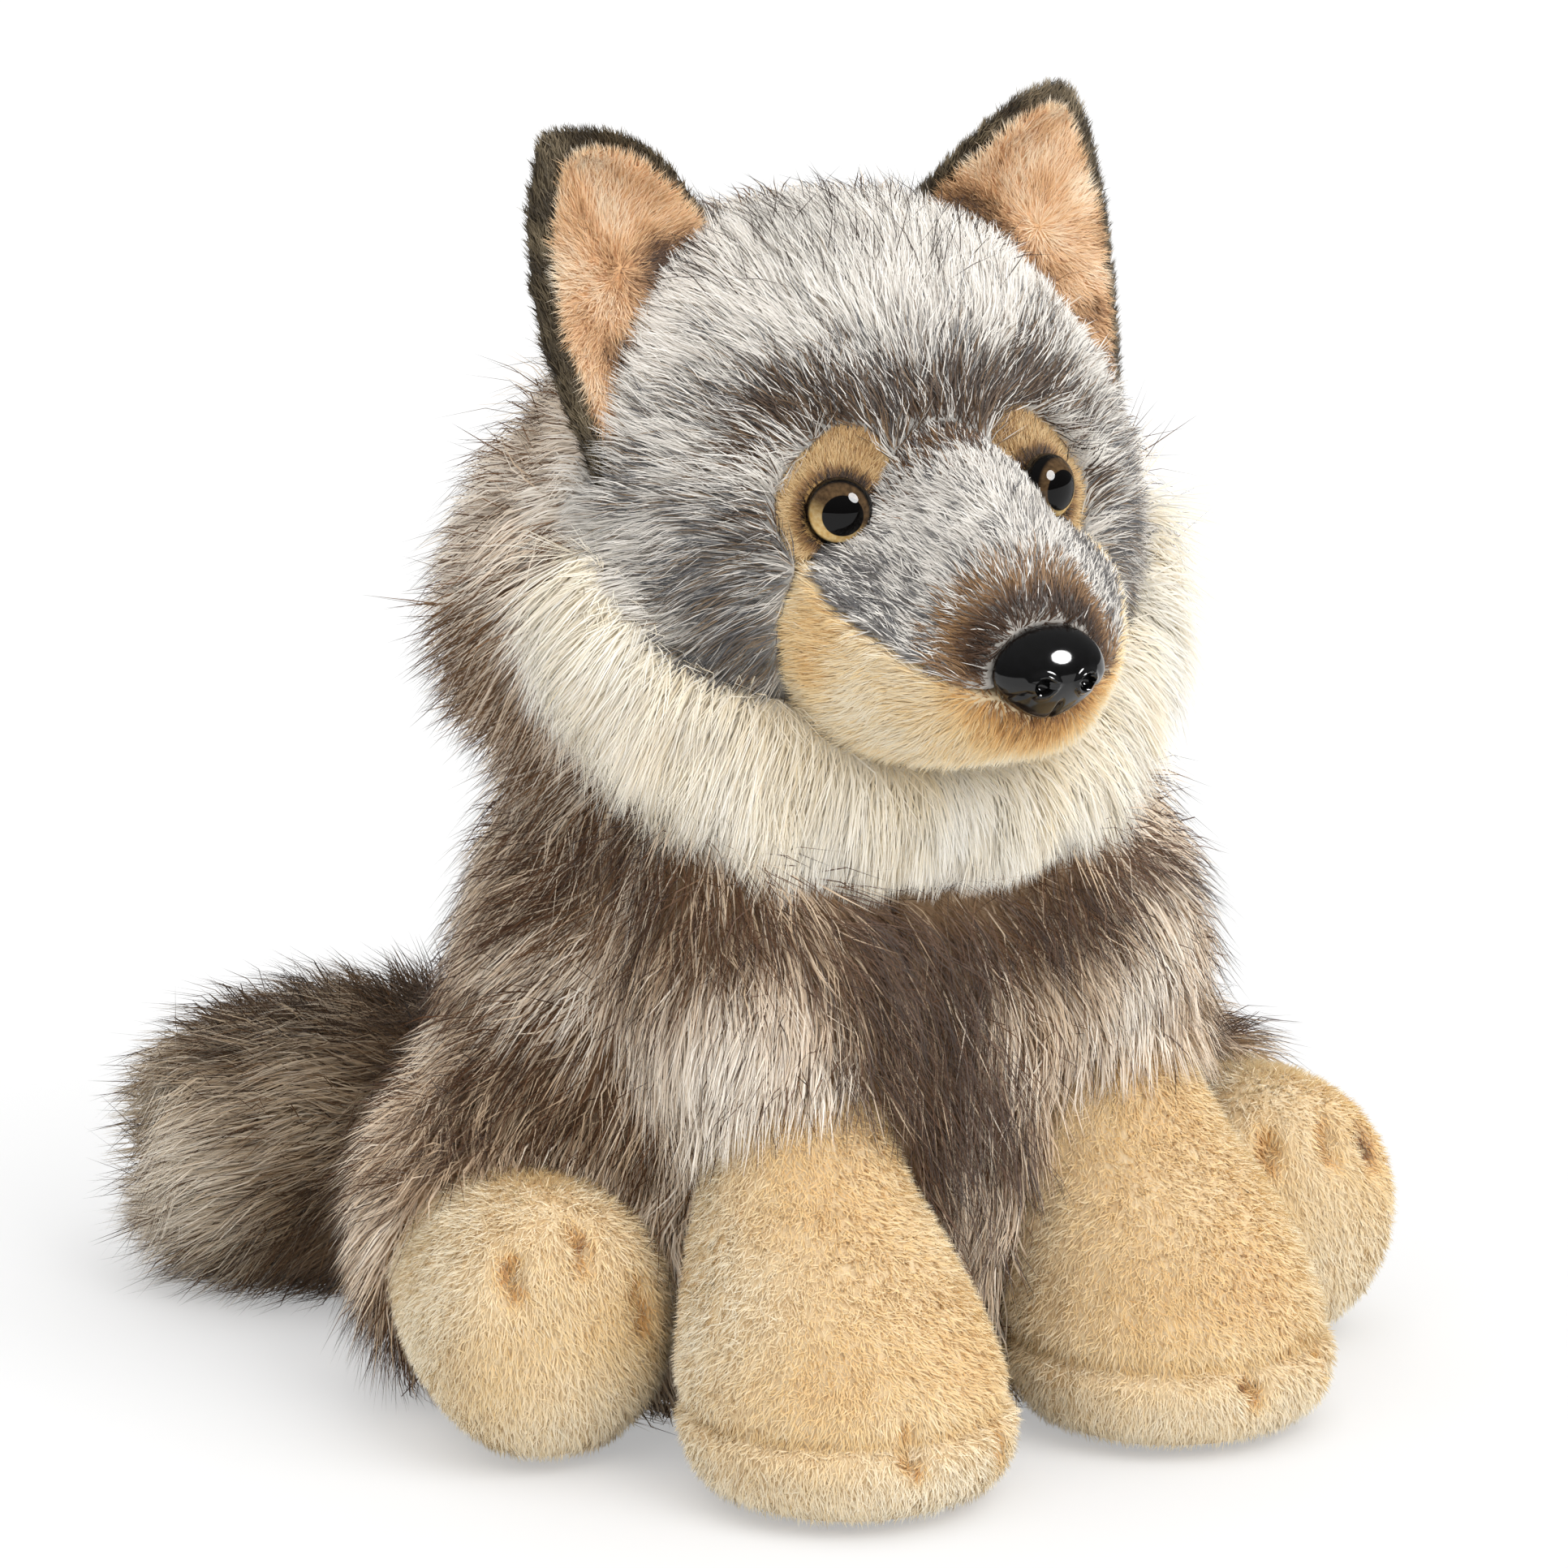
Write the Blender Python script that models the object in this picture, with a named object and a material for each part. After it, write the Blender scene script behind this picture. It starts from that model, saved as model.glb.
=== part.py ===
"""A seated plush wolf: stuffed fur panels, safety eyes and nose, four stuffed paws and a brush tail.

Metres, +Z up. The wolf faces -Y and its left side is +X. The floor is z = 0, and the origin lies on
the flat underside of the body.
"""

import math

import bmesh
import bpy
from mathutils import Matrix, Vector

# Clearance between neighbouring pieces
GAP = 0.0003

# Body: a seated pear
BODY_WIDTH = 0.172
BODY_DEPTH = 0.158
BODY_HEIGHT = 0.172
BODY_BACK = 0.022
SHOULDER_WIDTH = 0.146
SHOULDER_DEPTH = 0.132
SHOULDER_BACK = 0.014
SEAT_SINK = 0.030
WAIST_SHARE = 0.34
CHEST_SHARE = 0.72
NECK_SHARE = 0.8
BODY_FULLNESS = 0.45

# Head: an egg on the neck
HEAD_WIDTH = 0.132
HEAD_DEPTH = 0.108
HEAD_HEIGHT = 0.120
HEAD_ABOVE_BODY = 0.033
HEAD_BACK = 0.008
HEAD_FULLNESS = 0.9
JOWL_FORWARD = 0.011
HEAD_LEANS = ((-1.0, -1.0), (-0.7, -0.4), (0.1, 0.3), (0.5, 1.0))
HEAD_SHARES = (0.88, 1.02, 1.0, 0.94)

# Mane: the long-haired hood behind the face
MANE_WIDTH = 0.158
MANE_DEPTH = 0.112
MANE_HEIGHT = 0.118
MANE_BEHIND = 0.020
MANE_BELOW = 0.028

# Ruff: the bib from cheek to cheek
RUFF_SPAN = 0.134
RUFF_DROP = 0.063
RUFF_FORWARD = 0.042
RUFF_BREADTH = 0.040
RUFF_THICKNESS = 0.032
RUFF_AHEAD = 0.008
RUFF_FULLNESS = 0.6
RUFF_STATIONS = 7
RUFF_SWEEP = math.radians(84)

# Muzzle
MUZZLE_LENGTH = 0.097
MUZZLE_ROOT = 0.024
MUZZLE_BASE_WIDTH = 0.078
MUZZLE_BASE_HEIGHT = 0.072
MUZZLE_TIP_WIDTH = 0.050
MUZZLE_TIP_HEIGHT = 0.044
BRIDGE_PINCH = 0.47
TIP_PINCH = 0.16
LIP_FULLNESS = 0.45
MUZZLE_DROP = 0.029
MUZZLE_ROOT_SHARE = 0.9
MUZZLE_FULLNESS = 0.5
SEAM_DROP = 0.028
SEAM_TILT = math.radians(25)

# Eyes
EYE_DIAMETER = 0.0146
EYE_BULGE = 0.0056
EYE_BACKING = 0.0012
EYE_AZIMUTH = math.radians(23)
EYE_SHARE = 0.562
EYE_TILT = math.radians(4)
EYE_TURN = math.radians(27)
EYE_SINK = 0.0012
PATCH_RADIUS = 0.0135
PATCH_TIP_RADIUS = 0.0055
PATCH_TIP_RISE = 0.0140
PATCH_TIP_INWARD = 0.0030
PATCH_DEPTH = 0.008
PATCH_RECESS = 0.0022
POST_DIAMETER = 0.0045
EYE_POST_LENGTH = 0.0130
WASHER_DIAMETER = 0.0120
WASHER_THICKNESS = 0.0015
WASHER_BITE = 0.0002

# Nose
NOSE_WIDTH = 0.0262
NOSE_HEIGHT = 0.0205
NOSE_FRONT = 0.0098
NOSE_BACK = 0.0030
NOSE_FABRIC = 0.0025
NOSE_FLANGE_SHARE = 0.88
NOSE_NARROWING = 0.30
NOSE_FLATTENING = 0.42
NOSE_PITCH = math.radians(2)
NOSE_POST_LENGTH = 0.0120
NOSE_RISE = 0.005
NOSTRIL_RADIUS = 0.0019
NOSTRIL_SPREAD = 0.0102
NOSTRIL_DEPTH = 0.0030
NOSTRIL_DROP = 0.0004
NOSTRIL_LEAN = math.radians(16)
SLIT_LENGTH = 0.0089
SLIT_OUT = 0.0094
SLIT_DROP = 0.0029
SLIT_TURN = math.radians(24)
SLIT_LEAN = math.radians(38)
CLEFT_WIDTH = 0.0012
CLEFT_HEIGHT = 0.0050

# Ears
EAR_HEIGHT = 0.0478
EAR_HIGH_SHARE = 0.970
EAR_HIGH_AZIMUTH = math.radians(119)
EAR_LOW_SHARE = 0.58
EAR_LOW_AZIMUTH = math.radians(75)
EAR_THICKNESS = 0.0050
EAR_LEAN_OUT = 0.0220
EAR_INNER_POINT = 0.66
EAR_OUTER_POINT = 0.6
EAR_OUTER_POWER = 1.4
EAR_LEAN_BACK = 0.012
EAR_CUP = 0.010
EAR_FLARE = 0.006
EAR_ROOT = 0.006
EAR_SLACK = 0.0008
LINING_THICKNESS = 0.0026
LINING_SEAT = 0.0008
LINING_INSET = 0.0048

# Front legs and paws
FOOT_WIDTH = 0.079
FOOT_LENGTH = 0.078
FOOT_HEIGHT = 0.043
FOOT_SINK = 0.004
FOOT_FULLNESS = 0.48
LEG_WIDTH = 0.049
PAW_TOP = 0.087
PAW_RAKE = 0.030
SLEEVE_WIDTH = 0.064
SLEEVE_HEM = 0.062
SLEEVE_TOP = 0.150
SLEEVE_BEHIND = 0.012
SLEEVE_INWARD = 0.004
SLEEVE_SHOULDER_OUT = 0.0365
SLEEVE_SHOULDER_FORWARD = 0.036
SLEEVE_END_SHARE = 0.86
SLEEVE_FULLNESS = 0.6
FRONT_OUT = {"right": 0.039, "left": 0.047}
FRONT_REACH = {"right": 0.074, "left": 0.062}

# Hind legs and paws
HIND_PAW_WIDTH = 0.058
HIND_PAW_HEIGHT = 0.064
HIND_PAW_LENGTH = 0.066
HIND_PAW_SINK = 0.001
HAUNCH_WIDTH = 0.074
HAUNCH_HEIGHT = 0.082
HAUNCH_BACK = 0.052
HAUNCH_RISE = 0.038
HAUNCH_HIP_OUT = 0.041
HAUNCH_BOW = 0.010
HAUNCH_BOW_BACK = 0.004
KNEE_INWARD = 0.006
KNEE_BACK = 0.008
HAUNCH_KNEE_SHARE = 0.84
HIND_OUT = {"right": 0.087, "left": 0.094}
HIND_REACH = {"right": 0.020, "left": 0.020}

# Tail
TAIL_LENGTH = 0.108
TAIL_WIDTH = 0.067
TAIL_ROOT_WIDTH = 0.044
TAIL_SIDE = 0.018
TAIL_TURN = math.radians(64)
TAIL_RISE = 0.031
TAIL_ROOT_BACK = 0.054
TAIL_TIP_LIFT = 0.0032
TAIL_FULLNESS = 0.45

# Resolution
AROUND = 20
ALONG = 12
ROUND_SEGMENTS = 16
NOSE_AROUND = 24

SIDES = {"right": -1, "left": 1}
PINCH_HEIGHT = 0.6
BODY_TOP = Vector((0, SHOULDER_BACK, BODY_HEIGHT))
HEAD_CENTRE = Vector((0, HEAD_BACK, BODY_HEIGHT + HEAD_ABOVE_BODY))


def clear_scene():
    for obj in list(bpy.data.objects):
        bpy.data.objects.remove(obj, do_unlink=True)


def srgb(red, green, blue):
    """A colour given as 0-255 values, in the linear values that shaders take."""
    shares = [value / 255 for value in (red, green, blue)]
    linear = [s / 12.92 if s <= 0.04045 else ((s + 0.055) / 1.055) ** 2.4 for s in shares]
    return (*linear, 1)


def material(name, colour, roughness):
    made = bpy.data.materials.new(name)
    made.use_nodes = True
    shader = made.node_tree.nodes["Principled BSDF"]
    shader.inputs["Base Color"].default_value = srgb(*colour)
    shader.inputs["Roughness"].default_value = roughness
    shader.inputs["Metallic"].default_value = 0
    made.diffuse_color = srgb(*colour)
    return made


def solid(name, bm, colour, roughness=0.9):
    """An object of this closed mesh, faces outward and shaded smooth, with its own material."""
    bmesh.ops.triangulate(bm, faces=bm.faces)
    bmesh.ops.recalc_face_normals(bm, faces=bm.faces)
    mesh = bpy.data.meshes.new(name)
    bm.to_mesh(mesh)
    bm.free()
    mesh.shade_smooth()
    mesh.set_sharp_from_angle(angle=math.radians(50))
    mesh.materials.append(material(name, colour, roughness))
    obj = bpy.data.objects.new(name, mesh)
    bpy.context.scene.collection.objects.link(obj)
    return obj


def guide(name, bm):
    """A closed shape that cuts other pieces and is no piece itself."""
    obj = solid(name, bm, (128, 128, 128))
    obj.hide_render = True
    obj.display_type = "WIRE"
    return obj


def grown(piece, by=GAP):
    """A cutter: this piece's own form, larger all round by the clearance."""
    bm = bmesh.new()
    bm.from_mesh(piece.data)
    bm.normal_update()
    moves = [vert.normal * by * min(vert.calc_shell_factor(), 2) for vert in bm.verts]
    for vert, move in zip(bm.verts, moves):
        vert.co += move
    cutter = guide(piece.name + "_room", bm)
    cutter.matrix_world = piece.matrix_world.copy()
    return cutter


def combine(piece, other, operation="DIFFERENCE", solver="EXACT"):
    step = piece.modifiers.new(other.name, "BOOLEAN")
    step.operation = operation
    step.solver = solver
    step.object = other


def smooth_through(values, share):
    """The value at a share of the way along a Catmull-Rom curve through these values."""
    last = len(values) - 1
    at = min(max(share, 0), 1) * last
    first = min(int(at), last - 1)
    t = at - first
    here, after = values[first], values[first + 1]
    before = values[first - 1] if first > 0 else here * 2 - after
    beyond = values[first + 2] if first + 2 <= last else after * 2 - here
    slope_here = (after - before) * 0.5
    slope_after = (beyond - here) * 0.5
    return (
        here * (2 * t**3 - 3 * t**2 + 1)
        + slope_here * (t**3 - 2 * t**2 + t)
        + after * (3 * t**2 - 2 * t**3)
        + slope_after * (t**3 - t**2)
    )


def stuffed(
    spine, widths, heights, fullness=0.5, side=(1, 0, 0), level=False, pinches=(0.0, 0.0),
    spread=0.0, around=AROUND, along=ALONG,
):
    """A closed stuffed form: oval rings along a spine, gathered to a point at both ends.

    Fullness 1 gives an egg's ends and less gives blunter ones. The width lies along the side. Level
    rings stay flat, a pinch narrows their upper half by that share, and a spread squares their lower half.
    """
    points = [Vector(point) for point in spine]
    side = Vector(side)
    bm = bmesh.new()
    rings = []
    for row in range(1, along):
        turn = math.pi * row / along
        share = (1 - math.cos(turn)) / 2
        gather = math.sin(turn) ** fullness
        centre = smooth_through(points, share)
        tangent = Vector((0, 0, 1))
        if not level:
            ahead, behind = smooth_through(points, share + 0.01), smooth_through(points, share - 0.01)
            tangent = (ahead - behind).normalized()
        across = (side - tangent * side.dot(tangent)).normalized()
        up = tangent.cross(across)
        half_width = smooth_through(widths, share) / 2 * gather
        half_height = smooth_through(heights, share) / 2 * gather
        pinch = smooth_through(pinches, share)
        ring = []
        for step in range(around):
            angle = 2 * math.pi * (step + 0.5) / around
            rise = min(max(math.sin(angle) / PINCH_HEIGHT, 0), 1)
            narrow = 1 - pinch * rise * rise * (3 - 2 * rise)
            wide = math.cos(angle)
            if math.sin(angle) < 0:
                wide = math.copysign(abs(wide) ** (1 - spread), wide)
            offset = across * (half_width * narrow * wide) + up * (half_height * math.sin(angle))
            ring.append(bm.verts.new(centre + offset))
        rings.append(ring)
    for ring, after in zip(rings, rings[1:]):
        for step in range(around):
            after_step = (step + 1) % around
            bm.faces.new((ring[step], ring[after_step], after[after_step], after[step]))
    for ring, end in ((rings[0], points[0]), (rings[-1], points[-1])):
        pole = bm.verts.new(end)
        for step in range(around):
            bm.faces.new((pole, ring[step], ring[(step + 1) % around]))
    bmesh.ops.recalc_face_normals(bm, faces=bm.faces)
    return bm


def keep_side(bm, point, normal):
    """Cuts the closed mesh at a plane and closes it flat, keeping the side that the normal points to."""
    everything = bm.verts[:] + bm.edges[:] + bm.faces[:]
    cut = bmesh.ops.bisect_plane(
        bm, geom=everything, plane_co=point, plane_no=normal, clear_inner=True, dist=1e-7
    )
    rim = [item for item in cut["geom_cut"] if isinstance(item, bmesh.types.BMEdge)]
    bmesh.ops.edgeloop_fill(bm, edges=rim)
    return bm


def on_floor(bm):
    return keep_side(bm, (0, 0, 0), (0, 0, 1))


def turned(profile, segments=ROUND_SEGMENTS):
    """A closed turned shape about Z from (radius, height) points that start and end on the axis."""
    bm = bmesh.new()
    verts = [bm.verts.new((radius, 0, height)) for radius, height in profile]
    edges = [bm.edges.new(pair) for pair in zip(verts, verts[1:])]
    bmesh.ops.spin(
        bm, geom=verts + edges, axis=(0, 0, 1), cent=(0, 0, 0), angle=2 * math.pi,
        steps=segments, use_merge=True,
    )
    bmesh.ops.remove_doubles(bm, verts=bm.verts, dist=1e-6)
    return bm


def ring_plate(outer, inner, bottom, top, segments=ROUND_SEGMENTS):
    """A washer about Z."""
    bm = bmesh.new()
    corners = ((inner, bottom), (outer, bottom), (outer, top), (inner, top))
    verts = [bm.verts.new((radius, 0, height)) for radius, height in corners]
    edges = [bm.edges.new((verts[i], verts[(i + 1) % 4])) for i in range(4)]
    bmesh.ops.spin(
        bm, geom=verts + edges, axis=(0, 0, 1), cent=(0, 0, 0), angle=2 * math.pi,
        steps=segments, use_merge=True,
    )
    bmesh.ops.remove_doubles(bm, verts=bm.verts, dist=1e-6)
    return bm


def head_stations():
    """The head's level sections from the jowls up: the jowls lean forward and the crown leans back."""
    half = HEAD_HEIGHT / 2
    spine = [HEAD_CENTRE + Vector((0, lean * JOWL_FORWARD, rise * half)) for lean, rise in HEAD_LEANS]
    widths = [HEAD_WIDTH * share for share in HEAD_SHARES]
    depths = [HEAD_DEPTH * share for share in HEAD_SHARES]
    return spine, widths, depths


def on_head(azimuth, share, sign, inward=0.0):
    """A point on the head, at a share of the way up its spine, or this far inside its surface."""
    spine, widths, depths = head_stations()
    gather = math.sin(math.acos(1 - 2 * share)) ** HEAD_FULLNESS
    half_width = smooth_through(widths, share) / 2 * gather - inward
    half_depth = smooth_through(depths, share) / 2 * gather - inward
    offset = Vector((sign * half_width * math.sin(azimuth), -half_depth * math.cos(azimuth), 0))
    return smooth_through(spine, share) + offset


def make_head():
    """The head and the mane behind it."""
    spine, widths, depths = head_stations()
    mesh = stuffed(spine, widths, depths, HEAD_FULLNESS, level=True, around=26, along=15)
    head = solid("head", mesh, (150, 150, 150))
    mane_centre = HEAD_CENTRE + Vector((0, MANE_BEHIND, -MANE_BELOW))
    rise = Vector((0, 0, MANE_HEIGHT / 2))
    ends = (mane_centre - rise, mane_centre + rise)
    mesh = stuffed(ends, (MANE_WIDTH,) * 2, (MANE_DEPTH,) * 2, 1.0, level=True)
    return head, solid("mane", mesh, (175, 160, 148))


def make_ruff():
    """A collar that hangs in an arc from cheek to cheek under the chin."""
    spine = []
    for step in range(RUFF_STATIONS):
        angle = RUFF_SWEEP * (2 * step / (RUFF_STATIONS - 1) - 1)
        drop = math.cos(angle)
        spine.append(HEAD_CENTRE + Vector((
            RUFF_SPAN / 2 * math.sin(angle),
            -RUFF_FORWARD * drop * drop - RUFF_AHEAD,
            -RUFF_DROP * drop,
        )))
    widths = [RUFF_THICKNESS] * RUFF_STATIONS
    heights = [RUFF_BREADTH] * RUFF_STATIONS
    mesh = stuffed(spine, widths, heights, RUFF_FULLNESS, side=(0, -1, 0), around=14, along=20)
    return solid("ruff", mesh, (240, 230, 212))


def muzzle_mesh():
    """The whole muzzle, which reaches from inside the head to the nose and sinks towards its tip."""
    root = HEAD_CENTRE + Vector((0, -MUZZLE_ROOT, -0.2 * MUZZLE_DROP))
    mid = HEAD_CENTRE + Vector((0, -0.60 * MUZZLE_LENGTH, -0.55 * MUZZLE_DROP))
    tip = HEAD_CENTRE + Vector((0, -MUZZLE_LENGTH, -MUZZLE_DROP))
    widths = (MUZZLE_BASE_WIDTH * MUZZLE_ROOT_SHARE, MUZZLE_BASE_WIDTH, MUZZLE_TIP_WIDTH)
    heights = (MUZZLE_BASE_HEIGHT * MUZZLE_ROOT_SHARE, MUZZLE_BASE_HEIGHT, MUZZLE_TIP_HEIGHT)
    pinches = (BRIDGE_PINCH, BRIDGE_PINCH, TIP_PINCH)
    return stuffed(
        (root, mid, tip), widths, heights, MUZZLE_FULLNESS, pinches=pinches,
        spread=LIP_FULLNESS, along=13,
    )


def make_muzzle():
    """The two panels of the muzzle, which meet at the lip seam, and the room they need in the head."""
    seam_point = HEAD_CENTRE + Vector((0, -MUZZLE_LENGTH, -SEAM_DROP))
    normal = Vector((0, -math.sin(SEAM_TILT), math.cos(SEAM_TILT)))
    above = keep_side(muzzle_mesh(), seam_point + normal * GAP / 2, normal)
    below = keep_side(muzzle_mesh(), seam_point - normal * GAP / 2, -normal)
    bridge = solid("muzzle_bridge", above, (185, 185, 185))
    lower = solid("lower_muzzle", below, (225, 198, 155))
    whole = guide("muzzle", muzzle_mesh())
    return bridge, lower, whole


def eye_frame(sign):
    """The frame of one eye: Z points out of the head, and the origin is on the patch's surface."""
    seat = on_head(EYE_AZIMUTH, EYE_SHARE, sign, PATCH_RECESS)
    out = Vector((sign * math.sin(EYE_TURN), -math.cos(EYE_TURN), math.sin(EYE_TILT))).normalized()
    side = Vector((0, 0, 1)).cross(out).normalized()
    rise = out.cross(side)
    frame = Matrix((side, rise, out)).transposed().to_4x4()
    frame.translation = seat
    return frame


def teardrop(sign, extra=0.0):
    """The patch's outline as a prism: a large circle round the eye and a small one above it."""
    steps = 9
    inward = -sign * PATCH_TIP_INWARD
    small = Vector((inward, PATCH_TIP_RISE, 0))
    slope = math.asin((PATCH_RADIUS - PATCH_TIP_RADIUS) / small.length)
    lean = math.atan2(small.y, small.x)
    outline = []
    for step in range(steps):
        angle = lean - math.pi / 2 + slope + (math.pi - 2 * slope) * step / (steps - 1)
        radius = PATCH_TIP_RADIUS + extra
        outline.append(small + Vector((radius * math.cos(angle), radius * math.sin(angle), 0)))
    for step in range(2 * steps):
        angle = lean + math.pi / 2 - slope + (math.pi + 2 * slope) * step / (2 * steps - 1)
        radius = PATCH_RADIUS + extra
        outline.append(Vector((radius * math.cos(angle), radius * math.sin(angle), 0)))
    bm = bmesh.new()
    floor = Vector((0, 0, -PATCH_DEPTH - extra))
    face = bm.faces.new([bm.verts.new(point + floor) for point in outline])
    made = bmesh.ops.extrude_face_region(bm, geom=[face])
    lifted = [item for item in made["geom"] if isinstance(item, bmesh.types.BMVert)]
    bmesh.ops.translate(bm, verts=lifted, vec=(0, 0, 3 * PATCH_DEPTH))
    bmesh.ops.recalc_face_normals(bm, faces=bm.faces)
    return bm


def make_eye(side, sign):
    """One safety eye: a dome, its backing disc with the post, and the lock washer behind the patch.

    Returns the room that the eye needs in the panels round it.
    """
    frame = eye_frame(sign)
    radius = EYE_DIAMETER / 2
    back = -EYE_SINK
    front = back + EYE_BACKING
    arc = 7
    dome_profile = [(0, front + GAP), (radius, front + GAP)]
    for step in range(1, arc):
        angle = math.pi / 2 * step / arc
        dome_profile.append((radius * math.cos(angle), front + GAP + EYE_BULGE * math.sin(angle)))
    dome_profile.append((0, front + GAP + EYE_BULGE))
    dome = solid(f"eye_dome_{side}", turned(dome_profile), (196, 150, 78), 0.05)
    post_radius = POST_DIAMETER / 2
    post_profile = [
        (0, front), (radius, front), (radius, back), (post_radius, back),
        (post_radius, -EYE_POST_LENGTH), (0, -EYE_POST_LENGTH),
    ]
    post = solid(f"eye_post_{side}", turned(post_profile), (20, 20, 22), 0.3)
    top = -PATCH_DEPTH + WASHER_BITE
    low = top - WASHER_THICKNESS
    outer = WASHER_DIAMETER / 2
    washer_mesh = ring_plate(outer, post_radius + GAP, low, top)
    washer = solid(f"eye_washer_{side}", washer_mesh, (235, 235, 235), 0.5)
    room_profile = [
        (0, front + 2 * EYE_BULGE), (radius + GAP, front + 2 * EYE_BULGE), (radius + GAP, back - GAP),
        (post_radius + GAP, back - GAP), (post_radius + GAP, top + GAP), (outer + GAP, top + GAP),
        (outer + GAP, low - GAP), (post_radius + GAP, low - GAP),
        (post_radius + GAP, -EYE_POST_LENGTH - GAP), (0, -EYE_POST_LENGTH - GAP),
    ]
    room = guide(f"eye_{side}_room", turned(room_profile))
    for piece in (dome, post, washer, room):
        piece.matrix_world = frame
    return room


def make_patch(side, sign, head_core):
    """The patch round one eye, which follows the head's surface, and the pocket that it needs there."""
    frame = eye_frame(sign)
    patch = solid(f"eye_patch_{side}", teardrop(sign), (205, 168, 108))
    patch.matrix_world = frame
    combine(patch, head_core, "INTERSECT")
    pocket = guide(f"eye_patch_{side}_room", teardrop(sign, GAP))
    pocket.matrix_world = frame
    return patch, pocket


def nose_frame():
    """The frame of the nose: Z points out of the muzzle, Y up."""
    seat = HEAD_CENTRE + Vector((0, -MUZZLE_LENGTH, NOSE_RISE - SEAM_DROP))
    out = Vector((0, -math.cos(NOSE_PITCH), -math.sin(NOSE_PITCH)))
    side = Vector((1, 0, 0))
    rise = out.cross(side)
    frame = Matrix((side, rise, out)).transposed().to_4x4()
    frame.translation = seat
    return frame


def nose_mesh():
    """The nose and its post in one: a bean-shaped dome, flatter below, on a flange and a round post."""
    post_radius = POST_DIAMETER / 2
    rows = 8
    bm = bmesh.new()
    rings = []
    angles = [2 * math.pi * step / NOSE_AROUND for step in range(NOSE_AROUND)]
    for row in range(1, rows + 1):
        share = math.sin(math.pi / 2 * row / rows)
        rise = math.cos(math.pi / 2 * row / rows)
        ring = []
        for angle in angles:
            x, y = share * math.cos(angle), share * math.sin(angle)
            below = max(-y, 0)
            narrow = 1 - NOSE_NARROWING * below**1.5
            flat = NOSE_FLATTENING * below * rise
            at = (x * narrow * NOSE_WIDTH / 2, y * NOSE_HEIGHT / 2, (rise - flat) * NOSE_FRONT)
            ring.append(bm.verts.new(at))
        rings.append(ring)
    rim = [vert.co * NOSE_FLANGE_SHARE for vert in rings[-1]]
    rings.append([bm.verts.new((point.x, point.y, -NOSE_BACK)) for point in rim])
    for height in (-NOSE_BACK, -NOSE_POST_LENGTH):
        rings.append([
            bm.verts.new((post_radius * math.cos(angle), post_radius * math.sin(angle), height))
            for angle in angles
        ])
    for ring, after in zip(rings, rings[1:]):
        for step in range(NOSE_AROUND):
            following = (step + 1) % NOSE_AROUND
            bm.faces.new((ring[step], after[step], after[following], ring[following]))
    pole = bm.verts.new((0, 0, NOSE_FRONT))
    for step in range(NOSE_AROUND):
        bm.faces.new((pole, rings[0][step], rings[0][(step + 1) % NOSE_AROUND]))
    bm.faces.new(rings[-1])
    return bm


def make_nose():
    """The moulded nose with its nostrils and cleft, and the lock washer on its post."""
    frame = nose_frame()
    body = solid("nose", nose_mesh(), (18, 18, 20), 0.12)
    body.matrix_world = frame
    post_radius = POST_DIAMETER / 2
    for sign in SIDES.values():
        bore_mesh = turned([
            (0, 0), (NOSTRIL_RADIUS * 0.6, 0), (NOSTRIL_RADIUS * 1.2, NOSE_FRONT), (0, NOSE_FRONT),
        ])
        bore = guide("nostril", bore_mesh)
        at = Vector((sign * NOSTRIL_SPREAD / 2, -NOSTRIL_DROP, NOSE_FRONT * 0.94 - NOSTRIL_DEPTH))
        lean = Matrix.Rotation(sign * NOSTRIL_LEAN, 4, "Y")
        bore.matrix_world = frame @ Matrix.Translation(at) @ lean
        combine(body, bore)
        slit_mesh = bmesh.new()
        bmesh.ops.create_cube(slit_mesh, size=1)
        bmesh.ops.scale(slit_mesh, vec=(SLIT_LENGTH, CLEFT_WIDTH, NOSE_FRONT), verts=slit_mesh.verts)
        slit = guide("nostril_slit", slit_mesh)
        at = Vector((sign * SLIT_OUT, -SLIT_DROP, NOSE_FRONT * 1.05))
        turn = Matrix.Rotation(-sign * SLIT_TURN, 4, "Z")
        lean = Matrix.Rotation(sign * SLIT_LEAN, 4, "Y")
        slit.matrix_world = frame @ Matrix.Translation(at) @ turn @ lean
        combine(body, slit)
    cleft_mesh = bmesh.new()
    bmesh.ops.create_cube(cleft_mesh, size=1)
    cleft_size = (CLEFT_WIDTH, CLEFT_HEIGHT * 2, NOSE_FRONT * 1.4)
    bmesh.ops.scale(cleft_mesh, vec=cleft_size, verts=cleft_mesh.verts)
    cleft = guide("nose_cleft", cleft_mesh)
    cleft.matrix_world = frame @ Matrix.Translation((0, -NOSE_HEIGHT / 2, NOSE_FRONT * 0.9))
    combine(body, cleft)
    top = -NOSE_BACK - NOSE_FABRIC
    washer_mesh = ring_plate(WASHER_DIAMETER / 2, post_radius + GAP, top - WASHER_THICKNESS, top)
    washer = solid("nose_washer", washer_mesh, (235, 235, 235), 0.5)
    washer.matrix_world = frame
    return body, washer


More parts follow.
